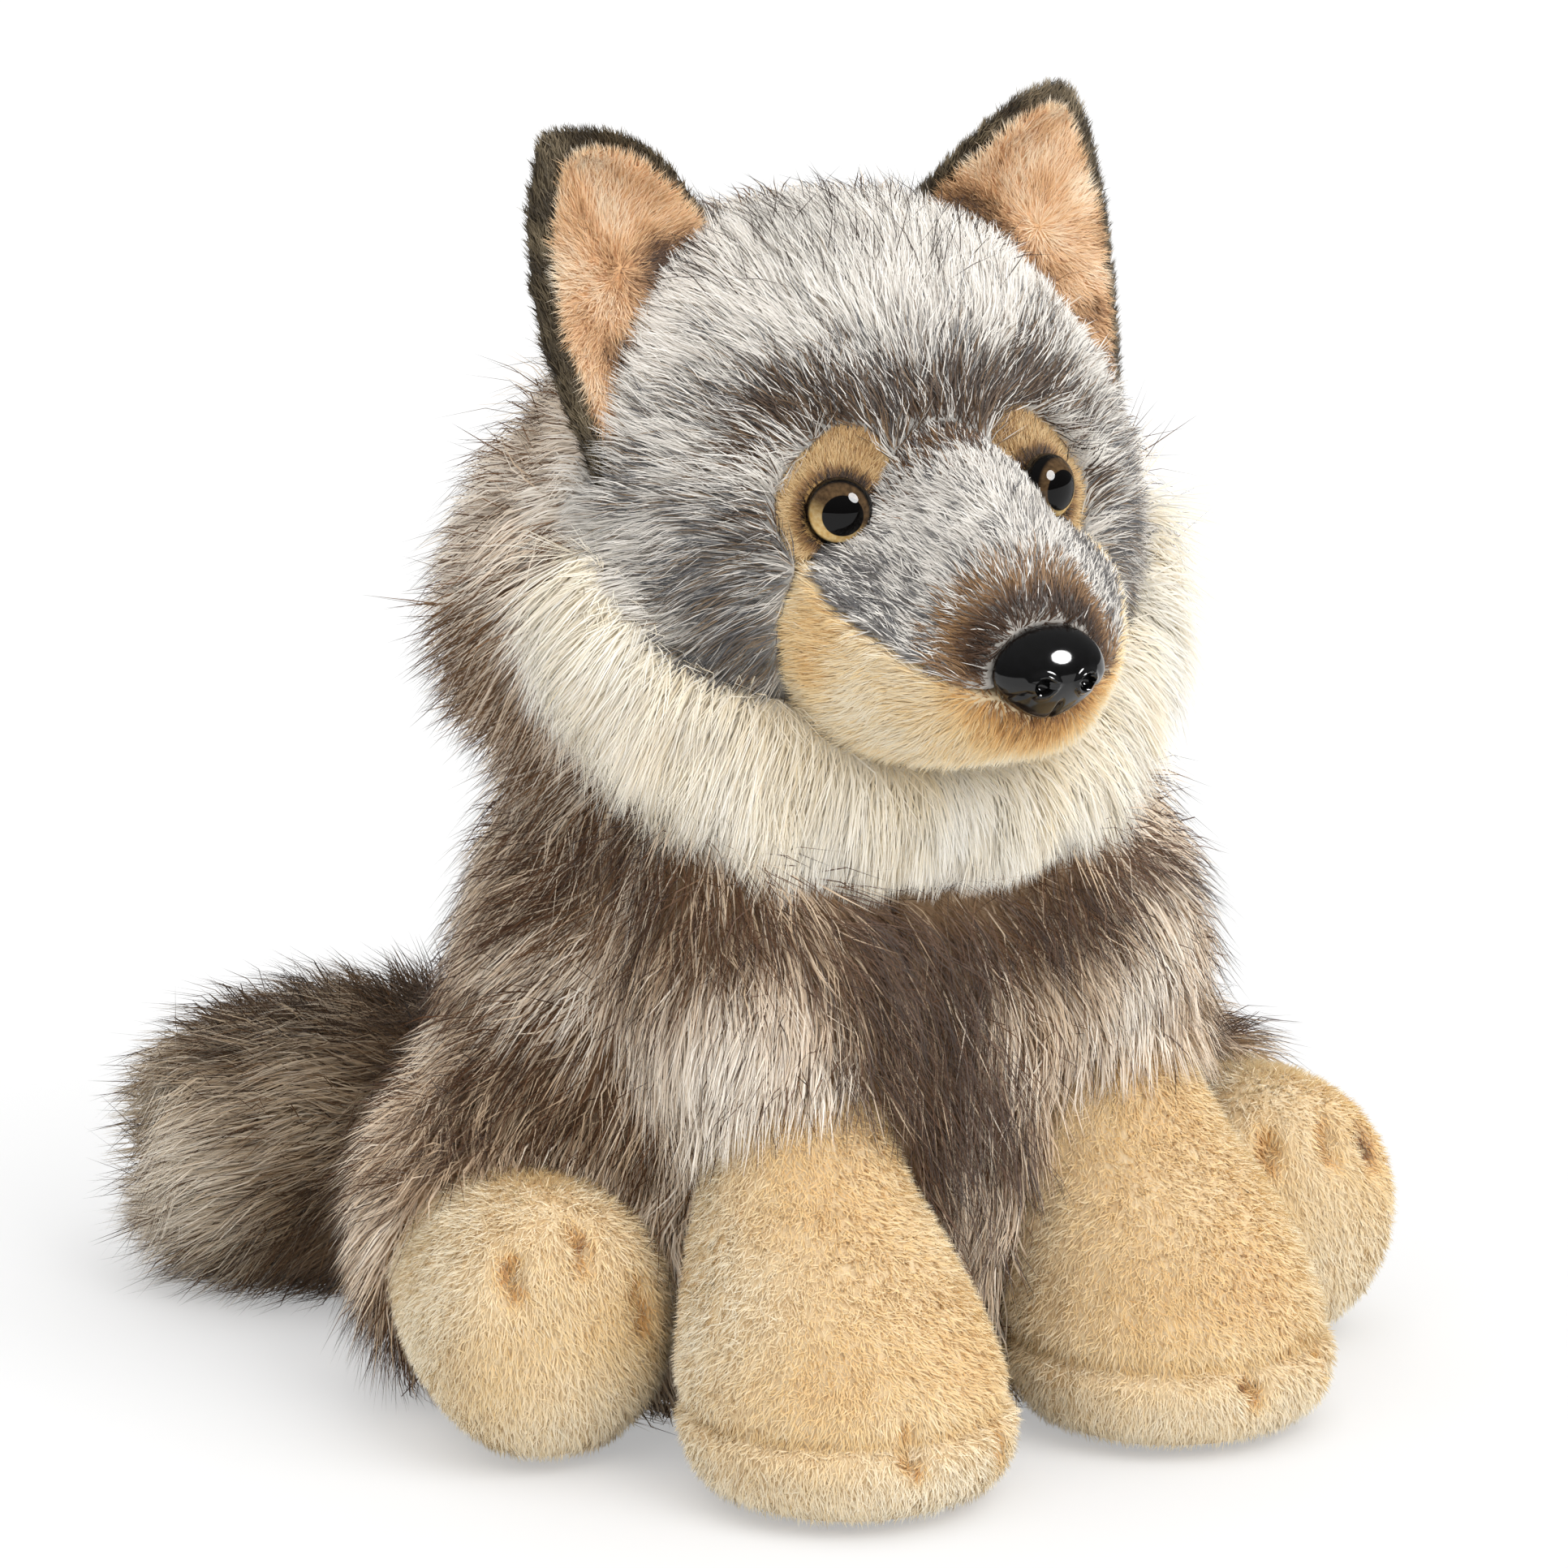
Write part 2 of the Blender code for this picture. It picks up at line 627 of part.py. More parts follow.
def ear_sheet(sign, inset, front, thickness, extra=0.0):
    """A cupped ear panel between a base on the head and a tip, its rim drawn in by the inset."""
    high = on_head(EAR_HIGH_AZIMUTH, EAR_HIGH_SHARE, sign)
    low = on_head(EAR_LOW_AZIMUTH, EAR_LOW_SHARE, sign)
    middle = (high + low) / 2
    along_base = (low - high).normalized()
    rise = Vector((sign * EAR_LEAN_OUT, EAR_LEAN_BACK, EAR_HEIGHT))
    tip = middle + rise
    normal = along_base.cross(rise).normalized()
    if normal.y > 0:
        normal = -normal
    half_base = (low - high).length / 2
    length = rise.length
    rows, columns = 8, 6
    grid_front, grid_back = [], []
    bm = bmesh.new()
    start = -(EAR_ROOT + extra) / length
    end = 1 - inset * 1.5 / length + extra / length
    for row in range(rows + 1):
        t = start + (end - start) * math.sin(math.pi / 2 * row / rows)
        tip_share = min(max((t - start) / (end - start), 0), 1)
        drawn_in = 1 - (inset - extra) / half_base
        ear_share = min(max((t - start) / (1 - start), 0), 1)
        inner = half_base * (1 - tip_share) ** EAR_INNER_POINT * drawn_in
        outer = half_base * (1 - tip_share ** EAR_OUTER_POWER) ** EAR_OUTER_POINT * drawn_in
        line_front, line_back = [], []
        for column in range(columns + 1):
            s = 2 * column / columns - 1
            half = outer if s > 0 else inner
            bend = -EAR_FLARE if s > 0 else EAR_CUP
            curl = bend * (s * drawn_in) ** 2 * math.sin(math.pi * ear_share**1.6)
            base = middle + (tip - middle) * t + along_base * (half * s) + normal * curl
            line_front.append(bm.verts.new(base + normal * (front + extra)))
            line_back.append(bm.verts.new(base + normal * (front - thickness - extra)))
            if row == rows:
                break
        grid_front.append(line_front)
        grid_back.append(line_back)
    for grid in (grid_front, grid_back):
        for line, after in zip(grid[:-1], grid[1:]):
            if len(after) == 1:
                for column in range(columns):
                    bm.faces.new((line[column], line[column + 1], after[0]))
                continue
            for column in range(columns):
                bm.faces.new((line[column], line[column + 1], after[column + 1], after[column]))
    front_rim, back_rim = (
        grid[0] + [line[-1] for line in grid[1:]] + [line[0] for line in grid[-2:0:-1]]
        for grid in (grid_front, grid_back)
    )
    count = len(front_rim)
    for step in range(count):
        after = (step + 1) % count
        bm.faces.new((front_rim[step], front_rim[after], back_rim[after], back_rim[step]))
    bmesh.ops.recalc_face_normals(bm, faces=bm.faces)
    return bm


def make_ear(side, sign):
    """The outer panel, the lining seated in its front face, and the slot that both need in the head."""
    front = LINING_THICKNESS - LINING_SEAT
    back = solid(f"ear_back_{side}", ear_sheet(sign, 0, 0, EAR_THICKNESS), (84, 72, 56))
    lining_mesh = ear_sheet(sign, LINING_INSET, front, LINING_THICKNESS)
    lining = solid(f"ear_lining_{side}", lining_mesh, (226, 178, 130))
    combine(back, grown(lining))
    slot = guide(f"ear_{side}_room", ear_sheet(sign, 0, front, EAR_THICKNESS + front, EAR_SLACK))
    return slot


def make_front_leg(side, sign):
    """The beige paw stands on the floor, and the furry sleeve comes down over its top."""
    out, reach = FRONT_OUT[side], FRONT_REACH[side]
    foot = Vector((sign * out, -reach, 0))
    spine = [
        foot + Vector((0, 0, -FOOT_SINK)),
        foot + Vector((0, 0, FOOT_HEIGHT * 0.30)),
        foot + Vector((0, PAW_RAKE * 0.35, FOOT_HEIGHT)),
        foot + Vector((-sign * 0.001, PAW_RAKE * 0.8, PAW_TOP * 0.75)),
        foot + Vector((-sign * 0.002, PAW_RAKE, PAW_TOP)),
    ]
    widths = (FOOT_WIDTH * 0.9, FOOT_WIDTH * 1.02, FOOT_WIDTH * 0.80, LEG_WIDTH, LEG_WIDTH)
    depths = (FOOT_LENGTH * 0.9, FOOT_LENGTH * 1.02, FOOT_LENGTH * 0.86, LEG_WIDTH, LEG_WIDTH)
    paw_mesh = stuffed(spine, widths, depths, FOOT_FULLNESS, level=True, along=14)
    paw = solid(f"front_paw_{side}", on_floor(paw_mesh), (226, 196, 148))
    hem = foot + Vector((-sign * SLEEVE_INWARD, PAW_RAKE * 0.8 + SLEEVE_BEHIND, SLEEVE_HEM))
    shoulder = Vector((sign * SLEEVE_SHOULDER_OUT, BODY_BACK - SLEEVE_SHOULDER_FORWARD, SLEEVE_TOP))
    middle = (hem + shoulder) / 2
    end = SLEEVE_WIDTH * SLEEVE_END_SHARE
    sleeve_mesh = stuffed(
        (hem, middle, shoulder), (SLEEVE_WIDTH * 0.94, SLEEVE_WIDTH, end), (end, SLEEVE_WIDTH, end),
        SLEEVE_FULLNESS, level=True,
    )
    sleeve = solid(f"front_leg_{side}", sleeve_mesh, (186, 172, 160))
    return paw, sleeve


def make_hind_leg(side, sign):
    """The haunch beside the body and the round foot that looks out of it."""
    out, reach = HIND_OUT[side], HIND_REACH[side]
    height = HIND_PAW_HEIGHT / 2 - HIND_PAW_SINK
    spine = (
        (sign * (out - 0.004), -reach + HIND_PAW_LENGTH * 0.72, height),
        (sign * out, -reach, height),
        (sign * out, -reach - HIND_PAW_LENGTH * 0.36, height),
    )
    widths = (HIND_PAW_WIDTH * 0.92, HIND_PAW_WIDTH, HIND_PAW_WIDTH)
    heights = (HIND_PAW_HEIGHT * 0.92, HIND_PAW_HEIGHT, HIND_PAW_HEIGHT)
    paw = solid(f"hind_paw_{side}", on_floor(stuffed(spine, widths, heights, 0.5)), (226, 196, 148))
    hip = Vector((sign * HAUNCH_HIP_OUT, HAUNCH_BACK, HAUNCH_RISE))
    knee = Vector((sign * (out - KNEE_INWARD), -reach + KNEE_BACK, HAUNCH_RISE))
    spine = (hip, (hip + knee) / 2 + Vector((sign * HAUNCH_BOW, HAUNCH_BOW_BACK, 0)), knee)
    widths = (HAUNCH_WIDTH, HAUNCH_WIDTH, HAUNCH_WIDTH * HAUNCH_KNEE_SHARE)
    heights = (HAUNCH_HEIGHT, HAUNCH_HEIGHT, HAUNCH_HEIGHT * HAUNCH_KNEE_SHARE)
    haunch = solid(f"hind_leg_{side}", on_floor(stuffed(spine, widths, heights, 0.55)), (176, 162, 150))
    return paw, haunch


def make_tail():
    """The brush, which leaves the back low down and curls round to the right side."""
    root = Vector((-TAIL_SIDE, BODY_BACK + TAIL_ROOT_BACK, TAIL_RISE))
    half_turn = TAIL_TURN * 0.75
    middle = root + TAIL_LENGTH * 0.48 * Vector((-math.sin(half_turn), math.cos(half_turn), 0))
    tip = root + TAIL_LENGTH * Vector((-math.sin(TAIL_TURN), math.cos(TAIL_TURN), 0))
    tip.z += TAIL_TIP_LIFT
    mesh = stuffed(
        (root, middle, tip), (TAIL_ROOT_WIDTH, TAIL_WIDTH, TAIL_WIDTH),
        (TAIL_ROOT_WIDTH, TAIL_WIDTH, TAIL_WIDTH), TAIL_FULLNESS, side=(0, 1, 0),
    )
    return solid("tail", on_floor(mesh), (150, 138, 126))


def make_body():
    """The seated torso, flat underneath where it rests on the floor."""
    low = Vector((0, BODY_BACK, -SEAT_SINK))
    waist = Vector((0, BODY_BACK, BODY_HEIGHT * WAIST_SHARE))
    chest = Vector((0, BODY_BACK, BODY_HEIGHT * CHEST_SHARE))
    widths = (BODY_WIDTH, BODY_WIDTH, SHOULDER_WIDTH, SHOULDER_WIDTH * NECK_SHARE)
    depths = (BODY_DEPTH, BODY_DEPTH * 0.96, SHOULDER_DEPTH, SHOULDER_DEPTH * NECK_SHARE)
    mesh = stuffed((low, waist, chest, BODY_TOP), widths, depths, BODY_FULLNESS, level=True, along=15)
    return solid("body", on_floor(mesh), (172, 158, 146))


def build():
    clear_scene()
    body = make_body()
    head, mane = make_head()
    ruff = make_ruff()
    tail = make_tail()
    bridge, lower, muzzle = make_muzzle()
    nose, nose_washer = make_nose()
    head_core = grown(head, -PATCH_RECESS)
    muzzle_room = grown(muzzle)
    head_room = grown(head)
    ruff_room = grown(ruff)
    mane_room = grown(mane)
    tail_room = grown(tail)
    nose_rooms = [grown(piece) for piece in (nose, nose_washer)]
    for panel in (bridge, lower):
        for room in nose_rooms:
            combine(panel, room)
    ear_rooms = []
    for side, sign in SIDES.items():
        patch, pocket = make_patch(side, sign, head_core)
        eye_room = make_eye(side, sign)
        combine(patch, muzzle_room)
        combine(head, pocket)
        for panel in (patch, head, bridge, lower):
            combine(panel, eye_room)
        ear_rooms.append(make_ear(side, sign))
    combine(head, muzzle_room)
    for room in ear_rooms:
        combine(head, room)
        combine(mane, room)
    for room in (head_room, muzzle_room):
        combine(ruff, room)
        combine(mane, room)
    combine(mane, ruff_room)
    body_rooms = [mane_room, ruff_room, head_room, tail_room]
    for side, sign in SIDES.items():
        paw, sleeve = make_front_leg(side, sign)
        hind_paw, haunch = make_hind_leg(side, sign)
        paw_room, sleeve_room = grown(paw), grown(sleeve)
        hind_paw_room, haunch_room = grown(hind_paw), grown(haunch)
        combine(sleeve, paw_room)
        for room in (mane_room, ruff_room, head_room):
            combine(sleeve, room)
        combine(hind_paw, paw_room)
        combine(haunch, hind_paw_room)
        combine(haunch, sleeve_room)
        combine(haunch, paw_room)
        combine(haunch, tail_room)
        body_rooms += [sleeve_room, paw_room, haunch_room, hind_paw_room]
    for room in body_rooms:
        combine(body, room)


build()
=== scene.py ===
import math

import bmesh
import bpy
import numpy as np
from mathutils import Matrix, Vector, kdtree
from mathutils.bvhtree import BVHTree


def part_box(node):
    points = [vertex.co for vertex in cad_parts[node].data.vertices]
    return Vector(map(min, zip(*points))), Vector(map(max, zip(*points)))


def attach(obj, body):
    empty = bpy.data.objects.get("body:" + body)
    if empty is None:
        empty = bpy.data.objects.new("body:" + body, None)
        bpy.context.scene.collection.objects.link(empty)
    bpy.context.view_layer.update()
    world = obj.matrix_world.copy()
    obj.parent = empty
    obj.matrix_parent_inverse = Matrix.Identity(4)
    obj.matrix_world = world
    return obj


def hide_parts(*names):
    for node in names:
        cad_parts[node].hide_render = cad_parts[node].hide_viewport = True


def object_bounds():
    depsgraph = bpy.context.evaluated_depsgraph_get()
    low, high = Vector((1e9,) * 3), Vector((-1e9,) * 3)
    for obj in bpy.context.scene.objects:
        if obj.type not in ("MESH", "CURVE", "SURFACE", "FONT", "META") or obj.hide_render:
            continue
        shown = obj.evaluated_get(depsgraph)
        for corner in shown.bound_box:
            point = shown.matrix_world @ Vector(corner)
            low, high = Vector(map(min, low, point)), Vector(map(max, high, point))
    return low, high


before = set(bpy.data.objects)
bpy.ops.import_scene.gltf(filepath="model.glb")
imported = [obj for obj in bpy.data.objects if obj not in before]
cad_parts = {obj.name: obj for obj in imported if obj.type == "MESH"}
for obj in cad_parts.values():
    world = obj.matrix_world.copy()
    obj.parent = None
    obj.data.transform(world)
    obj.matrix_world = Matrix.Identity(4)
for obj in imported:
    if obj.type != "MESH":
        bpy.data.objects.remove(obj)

cad_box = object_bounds()


# Torso
# A stuffed body of long acrylic fur: pinkish taupe underfur with dark brown guard hairs that gather in
# streaks. The pile is woven into a knitted backing, sewn inside out, turned and stuffed with fibre.

def linear(hex_colour):
    """An sRGB hex colour as the linear values that shaders take."""
    shares = [int(hex_colour[i:i + 2], 16) / 255 for i in (1, 3, 5)]
    return [s / 12.92 if s <= 0.04045 else ((s + 0.055) / 1.055) ** 2.4 for s in shares] + [1.0]


def add(tree, kind, values=None, links=None, **settings):
    """A new node with its settings, its inputs' values, and what feeds its other inputs."""
    node = tree.nodes.new(kind)
    for name, value in settings.items():
        setattr(node, name, value)
    for socket, value in (values or {}).items():
        node.inputs[socket].default_value = value
    for socket, source in (links or {}).items():
        tree.links.new(source, node.inputs[socket])
    return node


def dye_ramp(tree, stops, share):
    """Colours over a share from 0 to 1, from (place, hex colour) stops."""
    node = add(tree, "ShaderNodeValToRGB", links={"Fac": share})
    points = node.color_ramp.elements
    while len(points) < len(stops):
        points.new(0.5)
    for point, (place, colour) in zip(points, stops):
        point.position = place
        point.color = linear(colour)
    return node.outputs["Color"]


def acrylic_pile(name, roots, middles, tips, tip_from=0.55):
    """Acrylic pile, a soft fibre with a low sheen, dyed in stripes across and in three lengths along.

    A strand's place across the dye ramps is its U, and the way along the strand is its V. For the pale
    underfur the roots' ramp runs a little darker than the middles': that is painted shade deep in the pile.
    """
    made = bpy.data.materials.new(name)
    made.use_nodes = True
    tree = made.node_tree
    shader = tree.nodes["Principled BSDF"]
    laid = add(tree, "ShaderNodeUVMap", uv_map="OFBake")
    split = add(tree, "ShaderNodeSeparateXYZ", links={0: laid.outputs[0]})
    across, along = split.outputs["X"], split.outputs["Y"]
    colour = dye_ramp(tree, roots, across)
    for dyes, low, high in ((middles, 0.0, 0.45), (tips, tip_from, 1.0)):
        way = add(tree, "ShaderNodeMapRange", {1: low, 2: high}, {0: along}, interpolation_type="SMOOTHSTEP")
        dyed = dye_ramp(tree, dyes, across)
        mixed = add(tree, "ShaderNodeMix", links={0: way.outputs[0], 6: colour, 7: dyed}, data_type="RGBA")
        colour = mixed.outputs[2]
    tree.links.new(colour, shader.inputs["Base Color"])
    shader.inputs["Roughness"].default_value = 0.62
    shader.inputs["Specular IOR Level"].default_value = 0.25
    shader.inputs["Sheen Weight"].default_value = 0.15
    shader.inputs["Sheen Roughness"].default_value = 0.5
    return made


def knitted_backing(name, dark, light):
    """The knitted backing that the pile grows from: matt polyester, drawn with loops 1.2 mm apart.

    Real loops are about half as wide, which is too fine to show.
    """
    made = bpy.data.materials.new(name)
    made.use_nodes = True
    tree = made.node_tree
    shader = tree.nodes["Principled BSDF"]
    place = add(tree, "ShaderNodeTexCoord").outputs["Object"]
    loops = add(tree, "ShaderNodeTexVoronoi", {"Scale": 1 / 0.0012}, {"Vector": place})
    mottle = add(tree, "ShaderNodeTexNoise", {"Scale": 1 / 0.008, "Detail": 3.0}, {"Vector": place})
    tone = dye_ramp(tree, ((0.3, dark), (0.7, light)), mottle.outputs[0])
    tree.links.new(tone, shader.inputs["Base Color"])
    relief = {"Strength": 0.5, "Distance": 0.0006}
    bump = add(tree, "ShaderNodeBump", relief, {"Height": loops.outputs["Distance"]})
    tree.links.new(bump.outputs[0], shader.inputs["Normal"])
    shader.inputs["Roughness"].default_value = 0.95
    shader.inputs["Specular IOR Level"].default_value = 0.15
    return made


def numbers(items, name, width):
    """One property of all of a mesh's items as rows of this width."""
    values = np.empty(len(items) * width, np.int32 if name == "vertices" else np.float32)
    items.foreach_get(name, values)
    return values.reshape(-1, width)


def all_but(node):
    """Every other solid of the toy in one tree, to find how close the neighbours are."""
    corners, faces = [], []
    for name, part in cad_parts.items():
        if name != node:
            start = len(corners)
            corners.extend(numbers(part.data.vertices, "co", 3).tolist())
            part.data.calc_loop_triangles()
            faces.extend((numbers(part.data.loop_triangles, "vertices", 3) + start).tolist())
    return BVHTree.FromPolygons(corners, faces)


def stuffed_skin(node, depth, backing, voxel=0.003, rounds=4):
    """The sewn skin of one panel: its solid's form, rounded by the stuffing and let in by the pile's depth.

    It is let in less and less towards its seams, where it meets the next panel.
    """
    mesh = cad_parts[node].data.copy()
    shell = bmesh.new()
    shell.from_mesh(mesh)
    bmesh.ops.remove_doubles(shell, verts=shell.verts, dist=1e-5)
    shell.to_mesh(mesh)
    shell.free()
    piece = bpy.data.objects.new(node + "_skin", mesh)
    bpy.context.scene.collection.objects.link(piece)
    even = piece.modifiers.new("even", "REMESH")
    even.mode = "VOXEL"
    even.voxel_size = voxel
    soften = piece.modifiers.new("soften", "SMOOTH")
    soften.factor = 0.5
    soften.iterations = rounds
    graph = bpy.context.evaluated_depsgraph_get()
    rounded = bpy.data.meshes.new_from_object(piece.evaluated_get(graph))
    piece.modifiers.clear()
    piece.data = rounded
    bpy.data.meshes.remove(mesh)
    points = numbers(rounded.vertices, "co", 3)
    others = all_but(node)
    apart = np.array([others.find_nearest(point)[3] for point in points.tolist()])
    share = np.clip((apart - 0.0008) / (0.001 + 2 * depth), 0, 1)
    let_in = depth * share * share * (3 - 2 * share)
    points = points - numbers(rounded.vertices, "normal", 3) * let_in[:, None]
    points[:, 2] = np.maximum(points[:, 2], 0)
    rounded.vertices.foreach_set("co", points.ravel())
    rounded.update()
    rounded.shade_smooth()
    rounded.materials.clear()
    rounded.materials.append(backing)
    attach(piece, "root")
    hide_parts(node)
    return piece


def open_places(piece, reach):
    """For each point of a skin, 1 where the air begins within reach and 0 under a neighbouring piece."""
    others = all_but(piece.name.removesuffix("_skin"))
    places = np.ones(len(piece.data.vertices))
    for at, vert in enumerate(piece.data.vertices):
        if vert.co.z < 0.004 and vert.normal.z < -0.6:
            places[at] = 0
        elif others.ray_cast(vert.co, vert.normal, reach)[0]:
            places[at] = 0
    return places


def scatter(piece, reach, per_mm2, seed, least=0.0):
    """Strand roots spread over the open part of a skin: their points and outward normals.

    Faces whose corners are open by the least share or less carry none.
    """
    mesh = piece.data
    mesh.calc_loop_triangles()
    points, normals = numbers(mesh.vertices, "co", 3), numbers(mesh.vertices, "normal", 3)
    corners = numbers(mesh.loop_triangles, "vertices", 3)
    shown = open_places(piece, reach)[corners].mean(1)
    a, b, c = (points[corners[:, i]] for i in range(3))
    area = np.linalg.norm(np.cross(b - a, c - a), axis=1) / 2 * np.where(shown > least, shown, 0)
    count = int(area.sum() * 1e6 * per_mm2)
    draw = np.random.default_rng(seed)
    chosen = draw.choice(len(area), count, p=area / area.sum())
    first, second = draw.random(count), draw.random(count)
    folded = first + second > 1
    first, second = np.where(folded, 1 - first, first), np.where(folded, 1 - second, second)
    shares = np.stack((1 - first - second, first, second), 1)[:, :, None]
    return (points[corners[chosen]] * shares).sum(1), unit((normals[corners[chosen]] * shares).sum(1))


def unit(vectors):
    return vectors / np.maximum(np.linalg.norm(vectors, axis=-1, keepdims=True), 1e-9)


def patches(points, size, seed):
    """A smooth field with a spread of about 1, whose light and dark patches are this size across."""
    draw = np.random.default_rng(seed)
    total = np.zeros(len(points))
    for _ in range(14):
        wave = unit(draw.normal(size=3)) * math.pi / size * draw.uniform(0.5, 1.5)
        total += np.sin(points @ wave + draw.uniform(0, 2 * math.pi))
    return total / math.sqrt(7)


def swirl(points, size, seed):
    """A gentle turning of the comb, as vectors no longer than 1 along each axis."""
    return np.tanh(np.stack([patches(points, size, seed + step) for step in range(3)], 1))


def near(points, spots):
    """How strongly points lie in the spots, given as (x, y, z, radius, strength) in millimetres."""
    total = np.zeros(len(points))
    for x, y, z, radius, strength in spots:
        apart = np.linalg.norm(points * 1000 - (x, y, z), axis=1) / radius
        total += strength * np.exp(-apart ** 2)
    return total


PROUD_SHARE, PROUD = 0.03, 0.008
ROOM = [
    [low - PROUD_SHARE * (high - low) - PROUD, high + PROUD_SHARE * (high - low) + PROUD]
    for low, high in zip(*cad_box)
]


def grow(
    name, roots, normals, comb, length, tone, material, cloth_slot, seed, width, lift, steps, clump, tuft,
    loose=0.25, droop=0.12, twist=0.9,
):
    """Fur of tapered strands, combed along the skin and lifted off it, whose tips gather into tufts.

    Lift is the sine of a strand's angle to the skin. Each tuft draws about this many strands together by
    the clump's share at their tips, and loose is how far a strand leaves the comb's direction.
    """
    draw = np.random.default_rng(seed)
    count = len(roots)
    along_skin = comb - normals * (comb * normals).sum(1, keepdims=True)
    wander = draw.normal(size=(count, 3)) * np.broadcast_to(loose, count)[:, None]
    along_skin = unit(unit(along_skin) + wander - normals * (wander * normals).sum(1, keepdims=True))
    rise = np.clip(lift * (1 + 0.35 * draw.normal(size=count)), 0.08, 0.92)[:, None]
    start = normals * rise + along_skin * np.sqrt(1 - rise ** 2)
    bend = -normals * rise * 0.32 - np.array((0, 0, droop))
    length = np.broadcast_to(length, count)[:, None] * draw.uniform(0.75, 1.15, (count, 1))
    shares = np.linspace(0, 1, steps + 1)
    paths = np.stack([roots + length * (start * s + bend * s * s) for s in shares], 1)
    leaders = np.arange(0, count, tuft)
    tree = kdtree.KDTree(len(leaders))
    for at, leader in enumerate(leaders):
        tree.insert(roots[leader], at)
    tree.balance()
    follows = leaders[[tree.find(root)[1] for root in roots.tolist()]]
    gathered = np.broadcast_to(clump, count)[:, None] * shares ** 1.6
    paths += (paths[follows] - paths) * gathered[:, :, None]
    floor = 0.0004 + 0.002 * draw.random(count)[:, None]
    paths[:, :, 2] = np.maximum(paths[:, :, 2], floor)
    for axis, (low, high) in enumerate(ROOM):
        paths[:, :, axis] = np.clip(paths[:, :, axis], low, high)
    side = unit(np.cross(start, normals))
    flat = unit(np.cross(side, start))
    turn = draw.uniform(-twist, twist, count)[:, None]
    side, flat = side * np.cos(turn) + flat * np.sin(turn), flat * np.cos(turn) - side * np.sin(turn)
    outward = (flat * normals).sum(1, keepdims=True) < 0
    side, flat = np.where(outward, -side, side), np.where(outward, -flat, flat)
    widths = np.broadcast_to(width, count)[:, None] * draw.uniform(0.7, 1.3, (count, 1)) / 2
    taper = [1 - 0.55 * s for s in shares[:-1]]
    rings = []
    for step, share in enumerate(taper):
        rings += [paths[:, step] - side * widths * share, paths[:, step] + side * widths * share]
    points = np.stack(rings + [paths[:, steps]], 1)
    per = 2 * steps + 1
    faces = []
    for step in range(steps - 1):
        low = 2 * step
        faces += [(low, low + 1, low + 3), (low, low + 3, low + 2)]
    faces.append((2 * steps - 2, 2 * steps - 1, 2 * steps))
    faces = np.array(faces)
    corners = (faces[None] + (np.arange(count) * per)[:, None, None]).reshape(-1)
    mesh = bpy.data.meshes.new(name)
    mesh.vertices.add(count * per)
    mesh.vertices.foreach_set("co", points.astype(np.float32).ravel())
    mesh.loops.add(len(corners))
    mesh.loops.foreach_set("vertex_index", corners.astype(np.int32))
    mesh.polygons.add(len(corners) // 3)
    mesh.polygons.foreach_set("loop_start", np.arange(0, len(corners), 3, dtype=np.int32))
    mesh.update(calc_edges=True)
    mesh.validate()
    tone = np.clip(tone, 0.01, 0.99)
    laid = np.empty((count, per, 2), np.float32)
    for step in range(steps):
        laid[:, 2 * step] = np.stack((tone - 0.004, np.full(count, shares[step])), 1)
        laid[:, 2 * step + 1] = np.stack((tone + 0.004, np.full(count, shares[step])), 1)
    laid[:, -1] = np.stack((tone, np.full(count, 1.0)), 1)
    laid[:, :, 1] = laid[:, :, 1] * 0.98 + 0.01
    mesh.uv_layers.new(name="OFBake").data.foreach_set("uv", laid.reshape(-1, 2)[corners].ravel())
    mesh.shade_smooth()
    facing = unit(normals + 0.7 * flat).astype(np.float32)
    mesh.normals_split_custom_set_from_vertices(np.repeat(facing, per, axis=0))
    mesh.materials.append(material)
    piece = bpy.data.objects.new(name, mesh)
    bpy.context.scene.collection.objects.link(piece)
    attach(piece, "root")
    print("strands", name, count, "triangles", len(corners) // 3)
    return piece


taupe_backing = knitted_backing("polyester_knit_taupe", "#9c7f60", "#bfa283")
taupe_pile = acrylic_pile(
    "acrylic_long_pile_taupe",
    ((0.0, "#7e5a38"), (0.3, "#b38f69"), (0.6, "#e2cbb0"), (1.0, "#f5e6d2")),
    ((0.0, "#331e0f"), (0.28, "#6a4526"), (0.5, "#dcc1a0"), (0.75, "#f4e2cb"), (1.0, "#fdf4e6")),
    ((0.0, "#0e0804"), (0.28, "#28180b"), (0.42, "#946e47"), (0.6, "#ead4b9"), (1.0, "#fff8ec")),
)


def taupe_tones(points, darkness, seed):
    """Strand tones: guard hairs below 0.3, which gather in dark locks, and underfur above 0.45."""
    draw = np.random.default_rng(seed)
    count = len(points)
    locks = 0.15 * patches(points * (1, 1, 0.4), 0.013, seed)
    locks = locks + 0.17 * patches(points * (1, 1, 0.5), 0.004, seed + 1)
    guard = draw.random(count) < np.clip(0.20 + locks + 0.9 * darkness, 0.07, 0.9)
    under = 0.74 + 0.1 * patches(points, 0.02, seed + 2) + 0.1 * draw.normal(size=count) - 0.3 * darkness
    return guard, np.where(guard, draw.uniform(0.02, 0.30, count), np.clip(under, 0.46, 1))


def taupe_strands(guard):
    """How the taupe pile stands: thin, loose guard hairs over a thicker and closer underfur."""
    return {
        "width": np.where(guard, 0.00027, 0.00044), "lift": np.where(guard, 0.68, 0.52), "steps": 2,
        "tuft": 16, "clump": np.where(guard, 0.3, 0.42), "loose": np.where(guard, 0.5, 0.22),
    }


